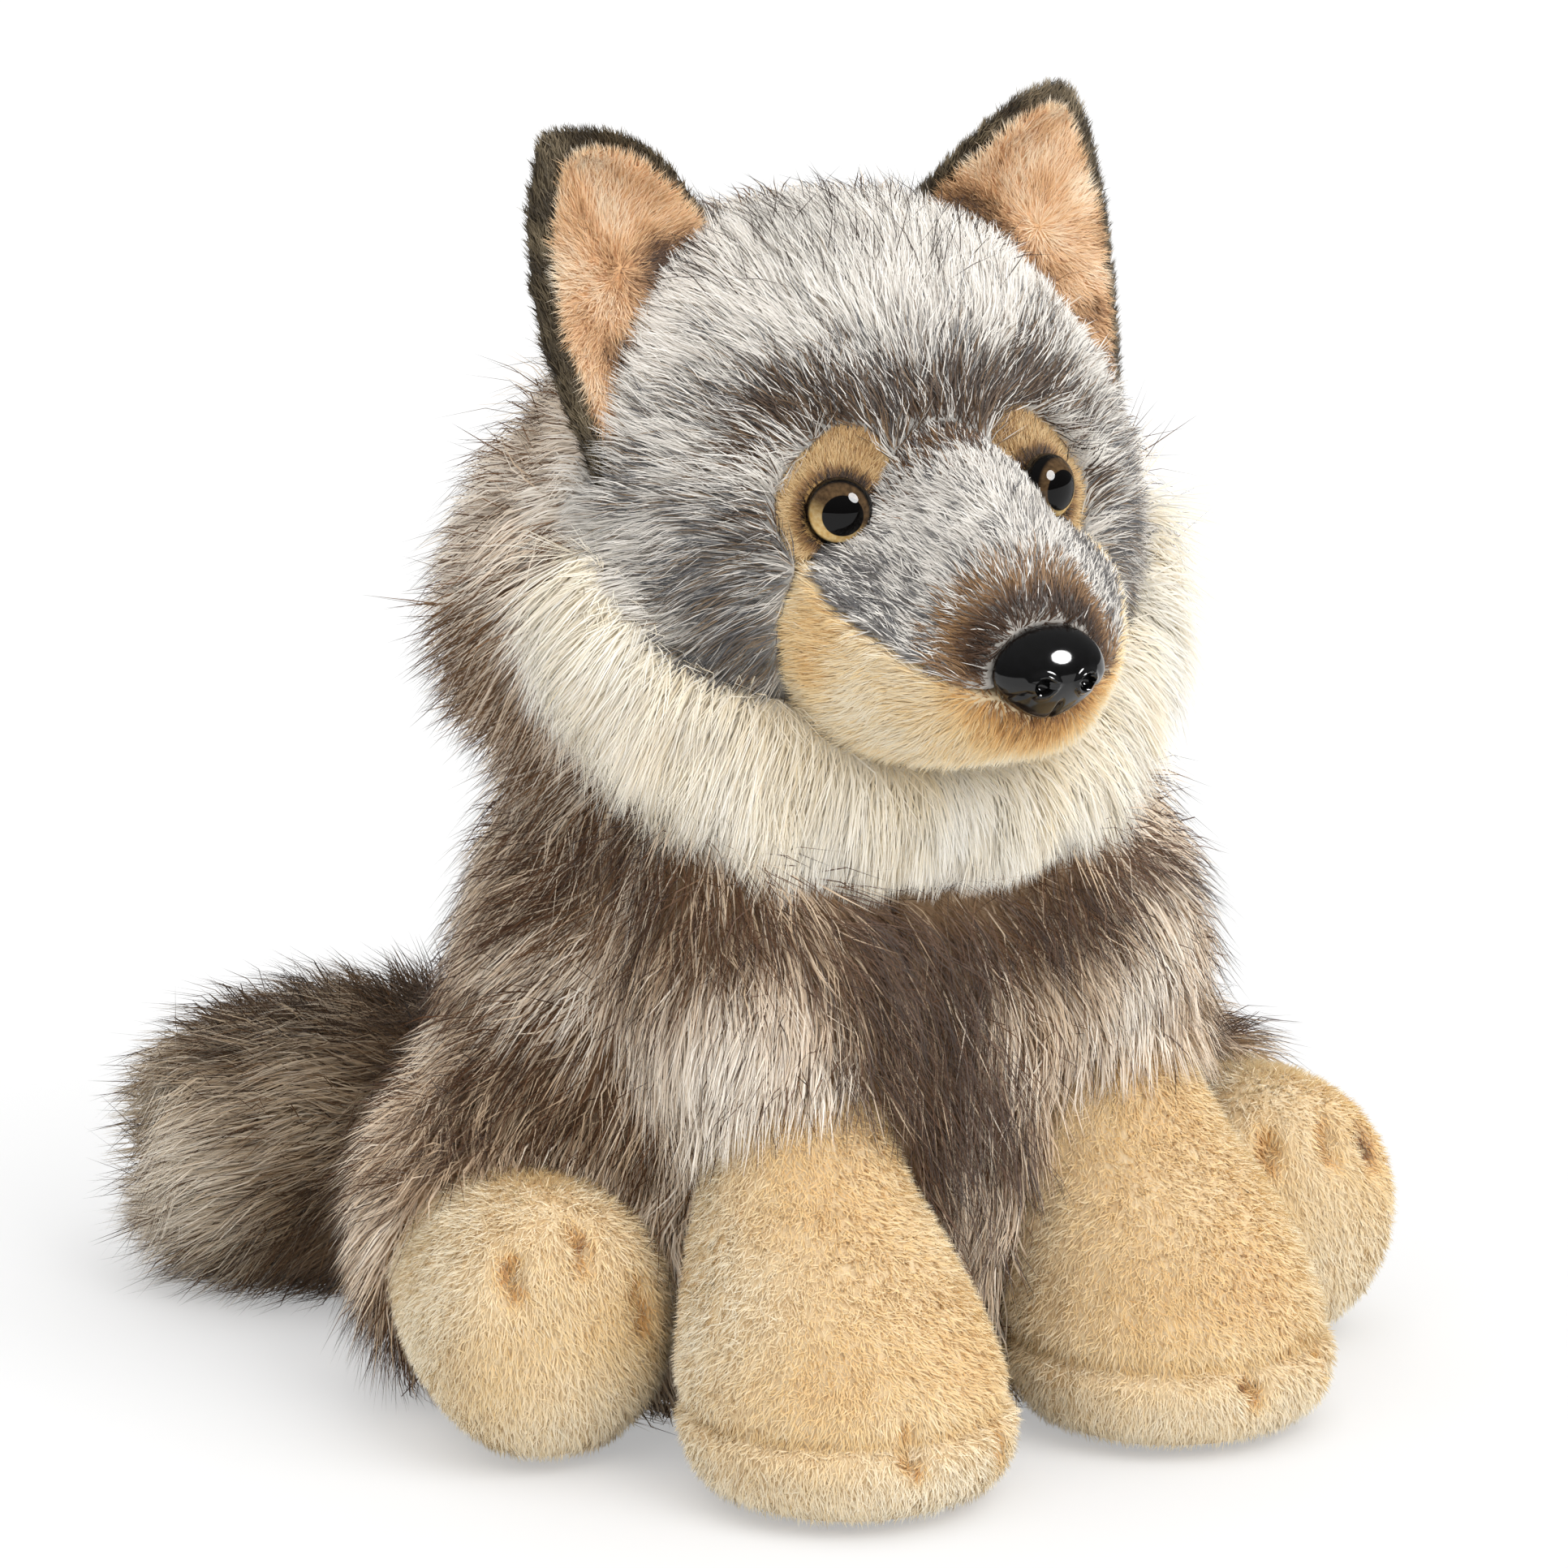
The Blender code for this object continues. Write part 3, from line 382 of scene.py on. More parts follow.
BODY_SHADES = (
    (-64, 13, 140, 22, 0.5), (-61, -13, 133, 16, 0.6), (-48, -40, 123, 13, 1.0), (-25, -50, 120, 14, 1.3),
    (0, -47, 118, 15, 1.3), (27, -45, 119, 14, 1.1), (48, -35, 122, 14, 0.6), (-73, 55, 92, 20, 0.4),
    (-80, 8, 80, 16, 0.4), (-74, -8, 82, 12, 0.5), (-60, -28, 74, 10, 0.4), (-10, -50, 97, 17, 1.0),
    (-5, -50, 74, 20, 1.0), (-71, -2, 106, 14, -0.35), (20, -46, 102, 9, -0.4),
    (0, 98, 100, 30, 0.3), (30, 90, 130, 30, 0.25), (-30, 95, 60, 25, 0.3),
)
LONG_PILE_DEPTH = 0.0038
body_skin = stuffed_skin("body", LONG_PILE_DEPTH, taupe_backing)
points, normals = scatter(body_skin, 0.003, 0.9, 11)
guard, tones = taupe_tones(points, near(points, BODY_SHADES), 12)
comb = np.array((0, 0.05, -1)) + 0.4 * swirl(points, 0.03, 13)
grow(
    "body_fur", points, normals, comb, np.where(guard, 0.027, 0.020), tones, taupe_pile, "taupe_fur", 16,
    **taupe_strands(guard),
)

# Sleeves and haunches
# The upper front legs hang over the paws like sleeves, and the haunches bulge beside the seat. They are
# cut from the same fur as the torso, sewn to it and stuffed more softly.

# Painted shade: the spots at (-88, 5, 69), (-97, 4, 61) and (92, 5, 69) darken the fur in the crease by the
# haunch, where shade falls. (-104, 30, 14) and (104, 30, 14) darken the haunches low down, and the rest are
# dark and pale locks.
LIMB_LOCKS_AND_CREASE_SHADE = BODY_SHADES + (
    (-88, 5, 69, 14, 0.55), (-97, 4, 61, 10, 0.3), (-14, -50, 98, 12, 0.7), (-56, -51, 98, 22, -0.6),
    (-104, 30, 14, 18, 0.5), (104, 30, 14, 18, 0.5), (92, 5, 69, 12, 0.4), (46, -51, 96, 17, -0.5),
    (25, -48, 92, 9, 0.35),
)
LIMB_PILE_DEPTH = 0.0034
for number, node in enumerate(("front_leg_right", "front_leg_left", "hind_leg_right", "hind_leg_left")):
    skin = stuffed_skin(node, LIMB_PILE_DEPTH, taupe_backing)
    points, normals = scatter(skin, 0.003, 1.0, 20 + number)
    guard, tones = taupe_tones(points, near(points, LIMB_LOCKS_AND_CREASE_SHADE), 30 + number)
    comb = np.array((0, -0.1, -1)) + 0.4 * swirl(points, 0.025, 33)
    grow(
        node + "_fur", points, normals, comb, np.where(guard, 0.025, 0.019), tones, taupe_pile, "taupe_fur",
        40 + number, **taupe_strands(guard),
    )

# Mane
# The hood behind the face: very long taupe pile with tips dyed nearly black, combed back and outwards so
# that its outline bristles. It is sewn round the head panel and stuffed.

mane_pile = acrylic_pile(
    "acrylic_long_pile_mane",
    ((0.0, "#9c846c"), (0.3, "#c2ac95"), (0.6, "#ddcebe"), (1.0, "#ece2d5")),
    ((0.0, "#42290f"), (0.28, "#805b38"), (0.5, "#dbc4a9"), (0.75, "#efe1cf"), (1.0, "#faf2e6")),
    ((0.0, "#120b06"), (0.28, "#2c1b0d"), (0.42, "#a58460"), (0.6, "#e8d7c1"), (1.0, "#fdf7ee")),
)
mane_skin = stuffed_skin("mane", LONG_PILE_DEPTH, taupe_backing)
points, normals = scatter(mane_skin, 0.003, 1.15, 51)
darkness = near(points, ((-76, 20, 189, 16, 0.1), (-70, 10, 148, 18, 0.5))) + 0.14
guard, tones = taupe_tones(points, darkness, 52)
outward = points - np.array((0, -0.02, 0.2))
comb = unit(outward * (1, 1, 0.6)) + np.array((0, 0.25, -0.55)) + 0.35 * swirl(points, 0.02, 53)
grow(
    "mane_fur", points, normals, comb, np.where(guard, 0.031, 0.023), tones, mane_pile, "mane_fur", 56,
    width=np.where(guard, 0.00030, 0.00042), lift=0.6, steps=2, tuft=16,
    clump=np.where(guard, 0.35, 0.45), loose=np.where(guard, 0.45, 0.25),
)

# Tail
# A stuffed brush that curls round to the wolf's right. Its pile is grey brown, darker along the top, and
# cream at the tip. Underneath, where it lies on the floor, it is painted darker as painted shade.

tail_pile = acrylic_pile(
    "acrylic_long_pile_tail",
    ((0.0, "#5d4a3a"), (0.3, "#7c6650"), (0.6, "#a08b77"), (1.0, "#dccdb9")),
    ((0.0, "#372413"), (0.28, "#654829"), (0.5, "#a58b6d"), (0.75, "#c9b497"), (1.0, "#f4e8d4")),
    ((0.0, "#110b08"), (0.28, "#251910"), (0.42, "#7b644e"), (0.7, "#ccbba6"), (1.0, "#fdf6ea")),
)
tail_skin = stuffed_skin("tail", LONG_PILE_DEPTH, taupe_backing)
points, normals = scatter(tail_skin, 0.003, 1.15, 61)
low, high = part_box("tail")
tip_share = np.clip((high.x - points[:, 0]) / (high.x - low.x), 0, 1)
# Painted shade: the spot low at (-88, 95, 4) darkens the underside where the tail lies on the floor. The
# other two darken its top.
darkness = near(points, ((-85, 122, 66, 22, 0.5), (-50, 105, 60, 20, 0.4), (-88, 95, 4, 26, 0.5)))
guard, tones = taupe_tones(points, darkness - 0.35 * tip_share ** 3, 62)
tones = np.where(guard, tones, np.clip(tones - 0.22 + 0.4 * tip_share ** 3, 0.4, 1))
comb = np.array((-1, 0.25, 0.15)) + 0.4 * swirl(points, 0.03, 63)
grow(
    "tail_fur", points, normals, comb, np.where(guard, 0.033, 0.024), tones, tail_pile, "tail_fur", 66,
    width=np.where(guard, 0.00030, 0.00042), lift=np.where(guard, 0.75, 0.6), steps=2, tuft=18,
    clump=np.where(guard, 0.35, 0.5), loose=np.where(guard, 0.55, 0.28),
)

# Ruff
# The cream bib from cheek to cheek: one band of straight, silky pile that hangs from under the jaw. It is
# a stuffed roll, sewn between the face and the chest.

cream_backing = knitted_backing("polyester_knit_cream", "#e9dfcb", "#f6efe0")
ruff_pile = acrylic_pile(
    "acrylic_long_pile_cream",
    ((0.0, "#f0dcb4"), (0.5, "#fff3da"), (1.0, "#fffaee")),
    ((0.0, "#f2dfb8"), (0.5, "#fff6e2"), (1.0, "#fffcf4")),
    ((0.0, "#f4dfb4"), (0.3, "#fff8e8"), (1.0, "#fffefa")),
)
ruff_skin = stuffed_skin("ruff", 0.0040, cream_backing, voxel=0.0025)
RUFF_LOW, ROLL_SHARE = 0.1285, 0.3
hung = numbers(ruff_skin.data.vertices, "co", 3)
hung[:, 2] = np.where(hung[:, 2] < RUFF_LOW, RUFF_LOW + ROLL_SHARE * (hung[:, 2] - RUFF_LOW), hung[:, 2])
ruff_skin.data.vertices.foreach_set("co", hung.ravel())
ruff_skin.data.update()
points, normals = scatter(ruff_skin, 0.0025, 2.4, 71)
draw = np.random.default_rng(73)
tones = 0.62 + 0.14 * patches(points * (1, 1, 0.4), 0.01, 72) + 0.12 * draw.normal(size=len(points))
outward = points - np.array((0, 0.01, 0.2))
comb = unit(outward * (0.75, 0.3, 1)) * (1.0, 0.6, 1.1) + np.array((0, 0.1, -0.55))
comb = comb + 0.16 * swirl(points, 0.02, 74)
ruff_length = 0.0085 + 0.0135 * np.clip((points[:, 2] - 0.130) / 0.028, 0, 1)
ruff_length = ruff_length * (1 + 0.22 * np.tanh(patches(points * (1, 1, 0.2), 0.006, 78)))
grow(
    "ruff_fur", points, normals, comb, ruff_length, tones, ruff_pile, "ruff_fur", 77, width=0.00034,
    lift=0.42, loose=0.24, clump=0.35, tuft=18, steps=2,
)

# Head
# The crown, brow and cheeks: a stuffed panel of medium pile with a silver crown, slate brow and cheeks,
# and brown shading sprayed on round the eyes. Behind the ears it carries the hood's long pile.

slate_backing = knitted_backing("polyester_knit_slate", "#a5a29d", "#c6c2bb")
head_pile = acrylic_pile(
    "acrylic_medium_pile_slate",
    ((0.0, "#3d332c"), (0.14, "#775c45"), (0.3, "#b49672"), (0.45, "#83827f"), (0.65, "#bcb7af"),
     (1.0, "#f0eae1")),
    ((0.0, "#241d19"), (0.14, "#5b422d"), (0.3, "#b09066"), (0.45, "#55565a"), (0.65, "#b0ada8"),
     (0.82, "#e5dfd6"), (1.0, "#fbf6ee")),
    ((0.0, "#120e0c"), (0.14, "#443022"), (0.3, "#b99669"), (0.45, "#393a3f"), (0.65, "#bfbcb7"),
     (0.82, "#f3eee6"), (1.0, "#fffcf7")),
)
head_skin = stuffed_skin("head", 0.0022, slate_backing, voxel=0.0024, rounds=3)
points, normals = scatter(head_skin, 0.002, 2.4, 81, least=0.6)
hood_line = 0.001 + 0.6 * np.clip(points[:, 2] - 0.232, 0, 0.03) + 0.002 * patches(points, 0.005, 80)
behind = points[:, 1] > hood_line
hood, hood_normals = points[behind], normals[behind]
points, normals = points[~behind], normals[~behind]
guard, tones = taupe_tones(hood, 0.12 - 0.2 * np.clip((hood[:, 2] - 0.24) / 0.015, 0, 1), 89)
outward = hood - np.array((0, -0.02, 0.2))
comb = unit(outward * (1, 1, 0.6)) + np.array((0, 0.3, 0.15)) + 0.35 * swirl(hood, 0.02, 53)
grow(
    "hood_fur", hood, hood_normals, comb, np.where(guard, 0.021, 0.016), tones, mane_pile, "mane_fur", 90,
    width=np.where(guard, 0.0003, 0.00036), lift=0.5, steps=2, tuft=16, clump=0.4,
    loose=np.where(guard, 0.4, 0.25),
)
draw = np.random.default_rng(82)
mirrored = points * (-1, 1, 1)
mirrored[:, 0] = -np.abs(points[:, 0])
slate = near(mirrored, (
    (-41, -20, 235, 12, 0.6), (-14, -31, 240, 9, 0.35), (-4, -36, 235, 8, 0.4), (-28, -32, 232, 10, 0.4),
    (-54, -28, 201, 16, 0.7), (-57, -14, 215, 12, 0.45), (-39, -40, 180, 14, 1.2), (-48, -34, 174, 12, 1.0),
    (-44, -36, 194, 10, 0.7), (-40, -38, 204, 7, 0.5),
))
brown = near(mirrored, (
    (-4, -39, 229, 7, 1.0), (-13, -37, 227, 7, 1.0), (-22, -34, 230, 7, 0.8), (-31, -30, 230, 8, 0.8),
    (-39, -32, 222, 6, 0.7), (-38, -38, 207, 5, 0.7), (-8, -34, 236, 6, 0.2),
))
locks = 0.16 * patches(points * (1, 0.6, 1), 0.006, 83) + 0.16 * patches(points, 0.0028, 84)
count = len(points)
tones = 0.93 - 0.16 * np.clip(slate, 0, 1) + 0.05 * patches(points, 0.02, 79)
tones = tones + 0.06 * draw.normal(size=count)
black = draw.random(count) < np.clip(0.02 + 0.62 * slate + locks * (0.25 + 1.2 * slate), 0, 0.9)
tones = np.where(black, draw.uniform(0.36, 0.52, count), np.clip(tones, 0.6, 0.99))
painted = draw.random(count) < np.clip(brown, 0, 0.85)
tones = np.where(painted, draw.uniform(0.0, 0.2, count), tones)
crown = np.clip((points[:, 2] - 0.245) / 0.01, 0, 1)
ticked = draw.random(count) < 0.09 * crown
tones = np.where(ticked, 0.04, tones)
comb = unit(points - np.array((0, -0.052, 0.198))) + np.array((0, 0.45, 0.0))
comb[:, 2] -= 0.35 * np.clip((0.2 - points[:, 2]) / 0.03, 0, 1)
comb += 0.3 * swirl(points, 0.012, 85)
high_up = np.clip((points[:, 2] - 0.235) / 0.02, 0, 1)
grow(
    "head_fur", points, normals, comb, 0.0115 + 0.005 * high_up + 0.008 * ticked, tones, head_pile,
    "head_fur", 88, width=np.where(ticked, 0.00026, 0.00030), lift=0.42, tuft=10, steps=2,
    clump=np.where(ticked, 0.1, 0.38), loose=np.where(ticked, 0.4, 0.25),
)

# Muzzle
# Two panels meet at the lip seam: a silver bridge with black ticks, sprayed brown to black towards the
# nose, and a short beige lip and chin panel. Both are stuffed hard.

bridge_backing = knitted_backing("polyester_knit_silver", "#a8a39c", "#c9c3bb")
bridge_pile = acrylic_pile(
    "acrylic_medium_pile_silver",
    ((0.0, "#2a201b"), (0.2, "#6b4d36"), (0.4, "#a9845c"), (0.55, "#85827e"), (0.75, "#c8c3bb"),
     (1.0, "#eae4dc")),
    ((0.0, "#1d1613"), (0.2, "#624329"), (0.4, "#b38b5e"), (0.55, "#5c5b5d"), (0.75, "#d8d2ca"),
     (1.0, "#f6f1e9")),
    ((0.0, "#141010"), (0.2, "#5a3c26"), (0.4, "#bf9768"), (0.55, "#313136"), (0.75, "#e6e1d9"),
     (1.0, "#fffcf6")),
)
bridge_skin = stuffed_skin("muzzle_bridge", 0.0014, bridge_backing, voxel=0.0016, rounds=3)
points, normals = scatter(bridge_skin, 0.0016, 3.5, 91, least=0.5)
draw = np.random.default_rng(92)
nose_low, nose_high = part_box("nose")
nose_at = np.array((0, (nose_low.y + nose_high.y) / 2 + 0.004, (nose_low.z + nose_high.z) / 2 + 0.002))
from_nose = np.linalg.norm((points - nose_at) * (0.9, 1, 1), axis=1)
count = len(points)
tones = np.clip(0.90 + 0.05 * patches(points, 0.006, 93) + 0.07 * draw.normal(size=count), 0.66, 0.99)
sides = 0.45 * np.clip((np.abs(points[:, 0]) - 0.016) / 0.012, 0, 1)
ticks = draw.random(count) < 0.20 + sides + 0.12 * patches(points, 0.003, 94)
tones = np.where(ticks, draw.uniform(0.53, 0.60, count), tones)
sprayed = draw.random(count) < np.clip((0.0235 - from_nose) / 0.0085, 0, 0.97)
rim = np.clip((0.0145 - from_nose) / 0.0022, 0, 1)
tones = np.where(sprayed, 0.36 - 0.14 * draw.random(count) - 0.2 * rim, tones)
arch = near(points, (
    (-12, -46, 227, 8, 1.0), (12, -46, 227, 8, 1.0), (0, -49, 229, 8, 1.1), (-22, -48, 215, 6, 0.8),
))
arched = draw.random(count) < np.clip(arch, 0, 0.8)
tones = np.where(arched, draw.uniform(0.04, 0.3, count), tones)
comb = np.array((0, 1, 0.35)) + points * (14, 0, 0) + 0.25 * swirl(points, 0.01, 95)
grow(
    "muzzle_bridge_fur", points, normals, comb, 0.0056, tones, bridge_pile, "bridge_fur", 98,
    width=0.00028, lift=0.36, clump=0.22, tuft=7, steps=2,
)

beige_backing = knitted_backing("polyester_knit_beige", "#d9bd92", "#ecd8b4")
beige_pile = acrylic_pile(
    "acrylic_short_pile_beige",
    ((0.0, "#42291a"), (0.2, "#8b5f37"), (0.4, "#cf9f63"), (0.7, "#edcf9b"), (1.0, "#f7e8cb")),
    ((0.0, "#3c2415"), (0.2, "#96653a"), (0.4, "#e0ab64"), (0.7, "#f7d9a0"), (1.0, "#fdf1d6")),
    ((0.0, "#452a18"), (0.2, "#a67240"), (0.4, "#edbd76"), (0.7, "#fde5b4"), (1.0, "#fffaea")),
    tip_from=0.4,
)
lower_skin = stuffed_skin("lower_muzzle", 0.001, beige_backing, voxel=0.0016, rounds=3)
points, normals = scatter(lower_skin, 0.0014, 4.5, 101)
draw = np.random.default_rng(102)
from_nose = np.linalg.norm((points - nose_at) * (0.9, 1, 1.0), axis=1)
tones = 0.86 + 0.05 * patches(points, 0.012, 103) + 0.10 * draw.normal(size=len(points))
tones = tones - 0.66 * np.clip((0.0215 - from_nose) / 0.010, 0, 1)
tones = tones - near(points, (
    (-37, -52, 186, 9, 0.22), (-36, -52, 176, 5, 0.3), (37, -52, 186, 9, 0.22), (0, -80, 166, 5, 0.15),
))
comb = np.array((0, 1, -0.15)) + points * (8, 0, 0) + 0.3 * swirl(points, 0.01, 104)
length = 0.0046 + 0.004 * np.clip((0.172 - points[:, 2]) / 0.012, 0, 1)
grow(
    "lower_muzzle_fur", points, normals, comb, length, tones, beige_pile, "muzzle_fur", 107, width=0.0003,
    lift=0.45, clump=0.25, tuft=8, steps=1, droop=0,
)

# Eye patches
# Teardrops of short tan pile let into the face round each eye, darker at the eye's rim, partly sprayed and
# partly painted shade where the patch dips into the socket, and brushed with brown above it.

tan_backing = knitted_backing("polyester_knit_tan", "#a98350", "#c9a36b")
tan_pile = acrylic_pile(
    "acrylic_short_pile_tan",
    ((0.0, "#2a1b11"), (0.3, "#87613a"), (0.7, "#c79d63"), (1.0, "#dcbc87")),
    ((0.0, "#2e1d12"), (0.3, "#946b40"), (0.7, "#d3aa70"), (1.0, "#e6c994")),
    ((0.0, "#332114"), (0.3, "#a1764a"), (0.7, "#e0bb83"), (1.0, "#f2dbaf")),
    tip_from=0.4,
)
for number, side in enumerate(("right", "left")):
    skin = stuffed_skin("eye_patch_" + side, 0.0004, tan_backing, voxel=0.0009, rounds=2)
    points, normals = scatter(skin, 0.0008, 9.0, 110 + number)
    draw = np.random.default_rng(112 + number)
    count = len(points)
    low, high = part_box("eye_dome_" + side)
    eye = np.array((low + high) / 2)
    from_eye = np.linalg.norm(points - eye, axis=1)
    # Darker within about 10 mm of the eye: partly sprayed dye, partly painted shade of the eye's socket.
    tones = 0.90 + 0.10 * draw.normal(size=count) - 0.85 * np.clip((0.0104 - from_eye) / 0.0022, 0, 1)
    above = np.clip((points[:, 2] - eye[2] - 0.005) / 0.010, 0, 1)
    inner = np.clip((0.024 - np.abs(points[:, 0])) / 0.006, 0, 1)
    brushed = draw.random(count) < 0.6 * above + 0.4 * inner + 0.04
    tones = np.where(brushed, tones - 0.45 * draw.random(count) - 0.1, tones)
    comb = unit(points - eye) + np.array((0, 0.2, 0.1)) + 0.25 * draw.normal(size=(count, 3))
    grow(
        f"eye_patch_{side}_fur", points, normals, comb, 0.0030, tones, tan_pile, "patch_fur", 114 + number,
        width=0.00026, lift=0.5, clump=0.1, tuft=6, steps=1, droop=0,
    )

# Eyes
# Safety eyes: a clear acrylic dome moulded over a printed amber iris and a black pupil, on a black
# backing disc whose post goes through the patch into a lock washer.

def moulded(name, colour, roughness, gloss=0.5):
    """Moulded ABS: smooth and hard, with a fine orange peel in its gloss."""
    made = bpy.data.materials.new(name)
    made.use_nodes = True
    tree = made.node_tree
    shader = tree.nodes["Principled BSDF"]
    place = add(tree, "ShaderNodeTexCoord").outputs["Object"]
    peel = add(tree, "ShaderNodeTexNoise", {"Scale": 1 / 0.0015, "Detail": 2.0}, {"Vector": place})
    shade = dye_ramp(tree, ((0.35, colour[0]), (0.65, colour[1])), peel.outputs[0])
    tree.links.new(shade, shader.inputs["Base Color"])
    bump = add(tree, "ShaderNodeBump", {"Strength": 0.06, "Distance": 0.0002}, {"Height": peel.outputs[0]})
    tree.links.new(bump.outputs[0], shader.inputs["Normal"])
    shader.inputs["Roughness"].default_value = roughness
    shader.inputs["IOR"].default_value = 1.54
    shader.inputs["Specular IOR Level"].default_value = gloss
    return made


PUPIL_EDGE, IRIS_EDGE = (0.287, 0.303), (0.40, 0.445)


def iris_material(name, inward):
    """A printed iris under clear acrylic, which gives it a sharp, wet gloss.

    A black pupil is set a little towards the nose, in a gold-brown ring with a black rim. The ring's
    brightening to gold low down and outwards is painted light, standing for the light that the dome
    refracts onto the print. Lengths on the disc are shares of its width.
    """
    made = bpy.data.materials.new(name)
    made.use_nodes = True
    tree = made.node_tree
    shader = tree.nodes["Principled BSDF"]
    disc = add(tree, "ShaderNodeUVMap", uv_map="OFBake").outputs[0]
    centre = (0.5 + 0.05 * inward, 0.475, 0)
    pupil = add(tree, "ShaderNodeVectorMath", {1: centre}, {0: disc}, operation="DISTANCE")
    ring = add(tree, "ShaderNodeVectorMath", {1: (0.5, 0.5, 0)}, {0: disc}, operation="DISTANCE")
    streaks = add(tree, "ShaderNodeTexNoise", {"Scale": 16.0, "Detail": 3.0}, {"Vector": disc})
    # Painted light: the ring runs from a shaded brown to a lit gold towards its lower, outer side, where the
    # dome's refracted light falls.
    brown = dye_ramp(tree, ((0.25, "#33271a"), (0.75, "#654e35")), streaks.outputs[0])
    gold = dye_ramp(tree, ((0.25, "#dcab5a"), (0.75, "#fbe2a8")), streaks.outputs[0])
    painted_light_toward = (-0.45 * inward, -0.9, 0)
    outward = add(tree, "ShaderNodeVectorMath", {1: painted_light_toward}, {0: disc}, operation="DOT_PRODUCT")
    middle = -0.225 * inward - 0.45
    found = outward.outputs["Value"]
    glow = add(tree, "ShaderNodeMapRange", {1: middle - 0.04, 2: middle + 0.36}, {0: found})
    painted_dome_light = add(tree, "ShaderNodeMix", links={0: glow.outputs[0], 6: brown, 7: gold}, data_type="RGBA")
    black = linear("#050404")
    (start, end), found = PUPIL_EDGE, pupil.outputs["Value"]
    edge = add(tree, "ShaderNodeMapRange", {1: start, 2: end}, {0: found}, interpolation_type="SMOOTHSTEP")
    feeds = {0: edge.outputs[0], 7: painted_dome_light.outputs[2]}
    inner = add(tree, "ShaderNodeMix", {6: black}, feeds, data_type="RGBA")
    (start, end), found = IRIS_EDGE, ring.outputs["Value"]
    rim = add(tree, "ShaderNodeMapRange", {1: start, 2: end}, {0: found}, interpolation_type="SMOOTHSTEP")
    feeds = {0: rim.outputs[0], 6: inner.outputs[2]}
    whole = add(tree, "ShaderNodeMix", {7: black}, feeds, data_type="RGBA")
    tree.links.new(whole.outputs[2], shader.inputs["Base Color"])
    shader.inputs["Roughness"].default_value = 0.4
    shader.inputs["Specular IOR Level"].default_value = 0.0
    shader.inputs["Coat Weight"].default_value = 0.5
    shader.inputs["Coat IOR"].default_value = 1.49
    shader.inputs["Coat Roughness"].default_value = 0.015
    return made


black_abs = moulded("moulded_abs_black", ("#030303", "#070708"), 0.09, gloss=0.42)
EYE_TURN, EYE_TILT = math.radians(27), math.radians(4)
RIM_DEPTH = 0.0006
TURNS = [math.pi / 2 * step / 12 for step in range(1, 12)]
white_nylon = moulded("moulded_nylon_white", ("#dcdcd8", "#ededea"), 0.5)
for side, inward in (("right", 1), ("left", -1)):
    out = Vector((-inward * math.sin(EYE_TURN), -math.cos(EYE_TURN), math.sin(EYE_TILT))).normalized()
    cad = numbers(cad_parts["eye_dome_" + side].data.vertices, "co", 3).astype(float)
    heights = cad @ np.array(out)
    rear = cad[heights < heights.min() + 1e-4]
    base = (rear.min(0) + rear.max(0)) / 2
    radius = np.linalg.norm(rear - base, axis=1).max()
    bulge = heights.max() - heights.min()
    dome = bmesh.new()
    profile = [(0.0, -RIM_DEPTH), (radius * 0.985, -RIM_DEPTH), (radius, 0.0)]
    profile += [(radius * math.cos(turn), bulge * math.sin(turn)) for turn in TURNS] + [(0.0, bulge)]
    verts = [dome.verts.new((r, 0, z)) for r, z in profile]
    edges = [dome.edges.new(pair) for pair in zip(verts, verts[1:])]
    bmesh.ops.spin(
        dome, geom=verts + edges, axis=(0, 0, 1), cent=(0, 0, 0), angle=2 * math.pi, steps=48,
        use_merge=True,
    )
    bmesh.ops.remove_doubles(dome, verts=dome.verts, dist=1e-7)
    bmesh.ops.recalc_face_normals(dome, faces=dome.faces)
    printed = dome.loops.layers.uv.new("OFBake")
    for face in dome.faces:
        for loop in face.loops:
            loop[printed].uv = (loop.vert.co.x / radius * 0.48 + 0.5, loop.vert.co.y / radius * 0.48 + 0.5)
    across = Vector((0, 0, 1)).cross(out).normalized()
    facing = np.array((across, out.cross(across), out)).T
    for vert in dome.verts:
        vert.co = Vector(facing @ np.array(vert.co) + base)
    mesh = bpy.data.meshes.new("eye_" + side)
    dome.to_mesh(mesh)
    dome.free()
    mesh.shade_smooth()
    mesh.materials.append(iris_material("clear_acrylic_over_amber_print_" + side, inward))
    eye = bpy.data.objects.new("eye_" + side, mesh)
    bpy.context.scene.collection.objects.link(eye)
    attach(eye, "root")
    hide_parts("eye_dome_" + side)
    for node, finish in (("eye_post_" + side, black_abs), ("eye_washer_" + side, white_nylon)):
        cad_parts[node].data.materials.clear()
        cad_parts[node].data.materials.append(finish)

# Nose
# One glossy black moulding with two ringed nostrils, a slit from each to the side, and a cleft. Its post
# goes through the fabric into a lock washer.

NOSE_WIDE, NOSE_TALL, NOSE_PROUD = 0.0262, 0.0205, 0.0098
NOSE_PITCH = math.radians(2)
SEAT_FROM_WASHER = 0.00625
NOSTRIL = np.array((0.0051, -0.0006))
SLIT_END = np.array((0.0106, -0.0042))
out = Vector((0, -math.cos(NOSE_PITCH), -math.sin(NOSE_PITCH)))
low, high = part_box("nose_washer")
seat = (low + high) / 2 + out * SEAT_FROM_WASHER
cast = bmesh.new()
rows = 26
profile = [(math.sin(math.pi / 2 * i / rows), math.cos(math.pi / 2 * i / rows)) for i in range(rows + 1)]
profile += [(0.98, -0.05), (0.88, -0.30), (0.17, -0.30), (0.17, -1.20), (0.0, -1.20)]
verts = [cast.verts.new((r, 0, z)) for r, z in profile]
edges = [cast.edges.new(pair) for pair in zip(verts, verts[1:])]
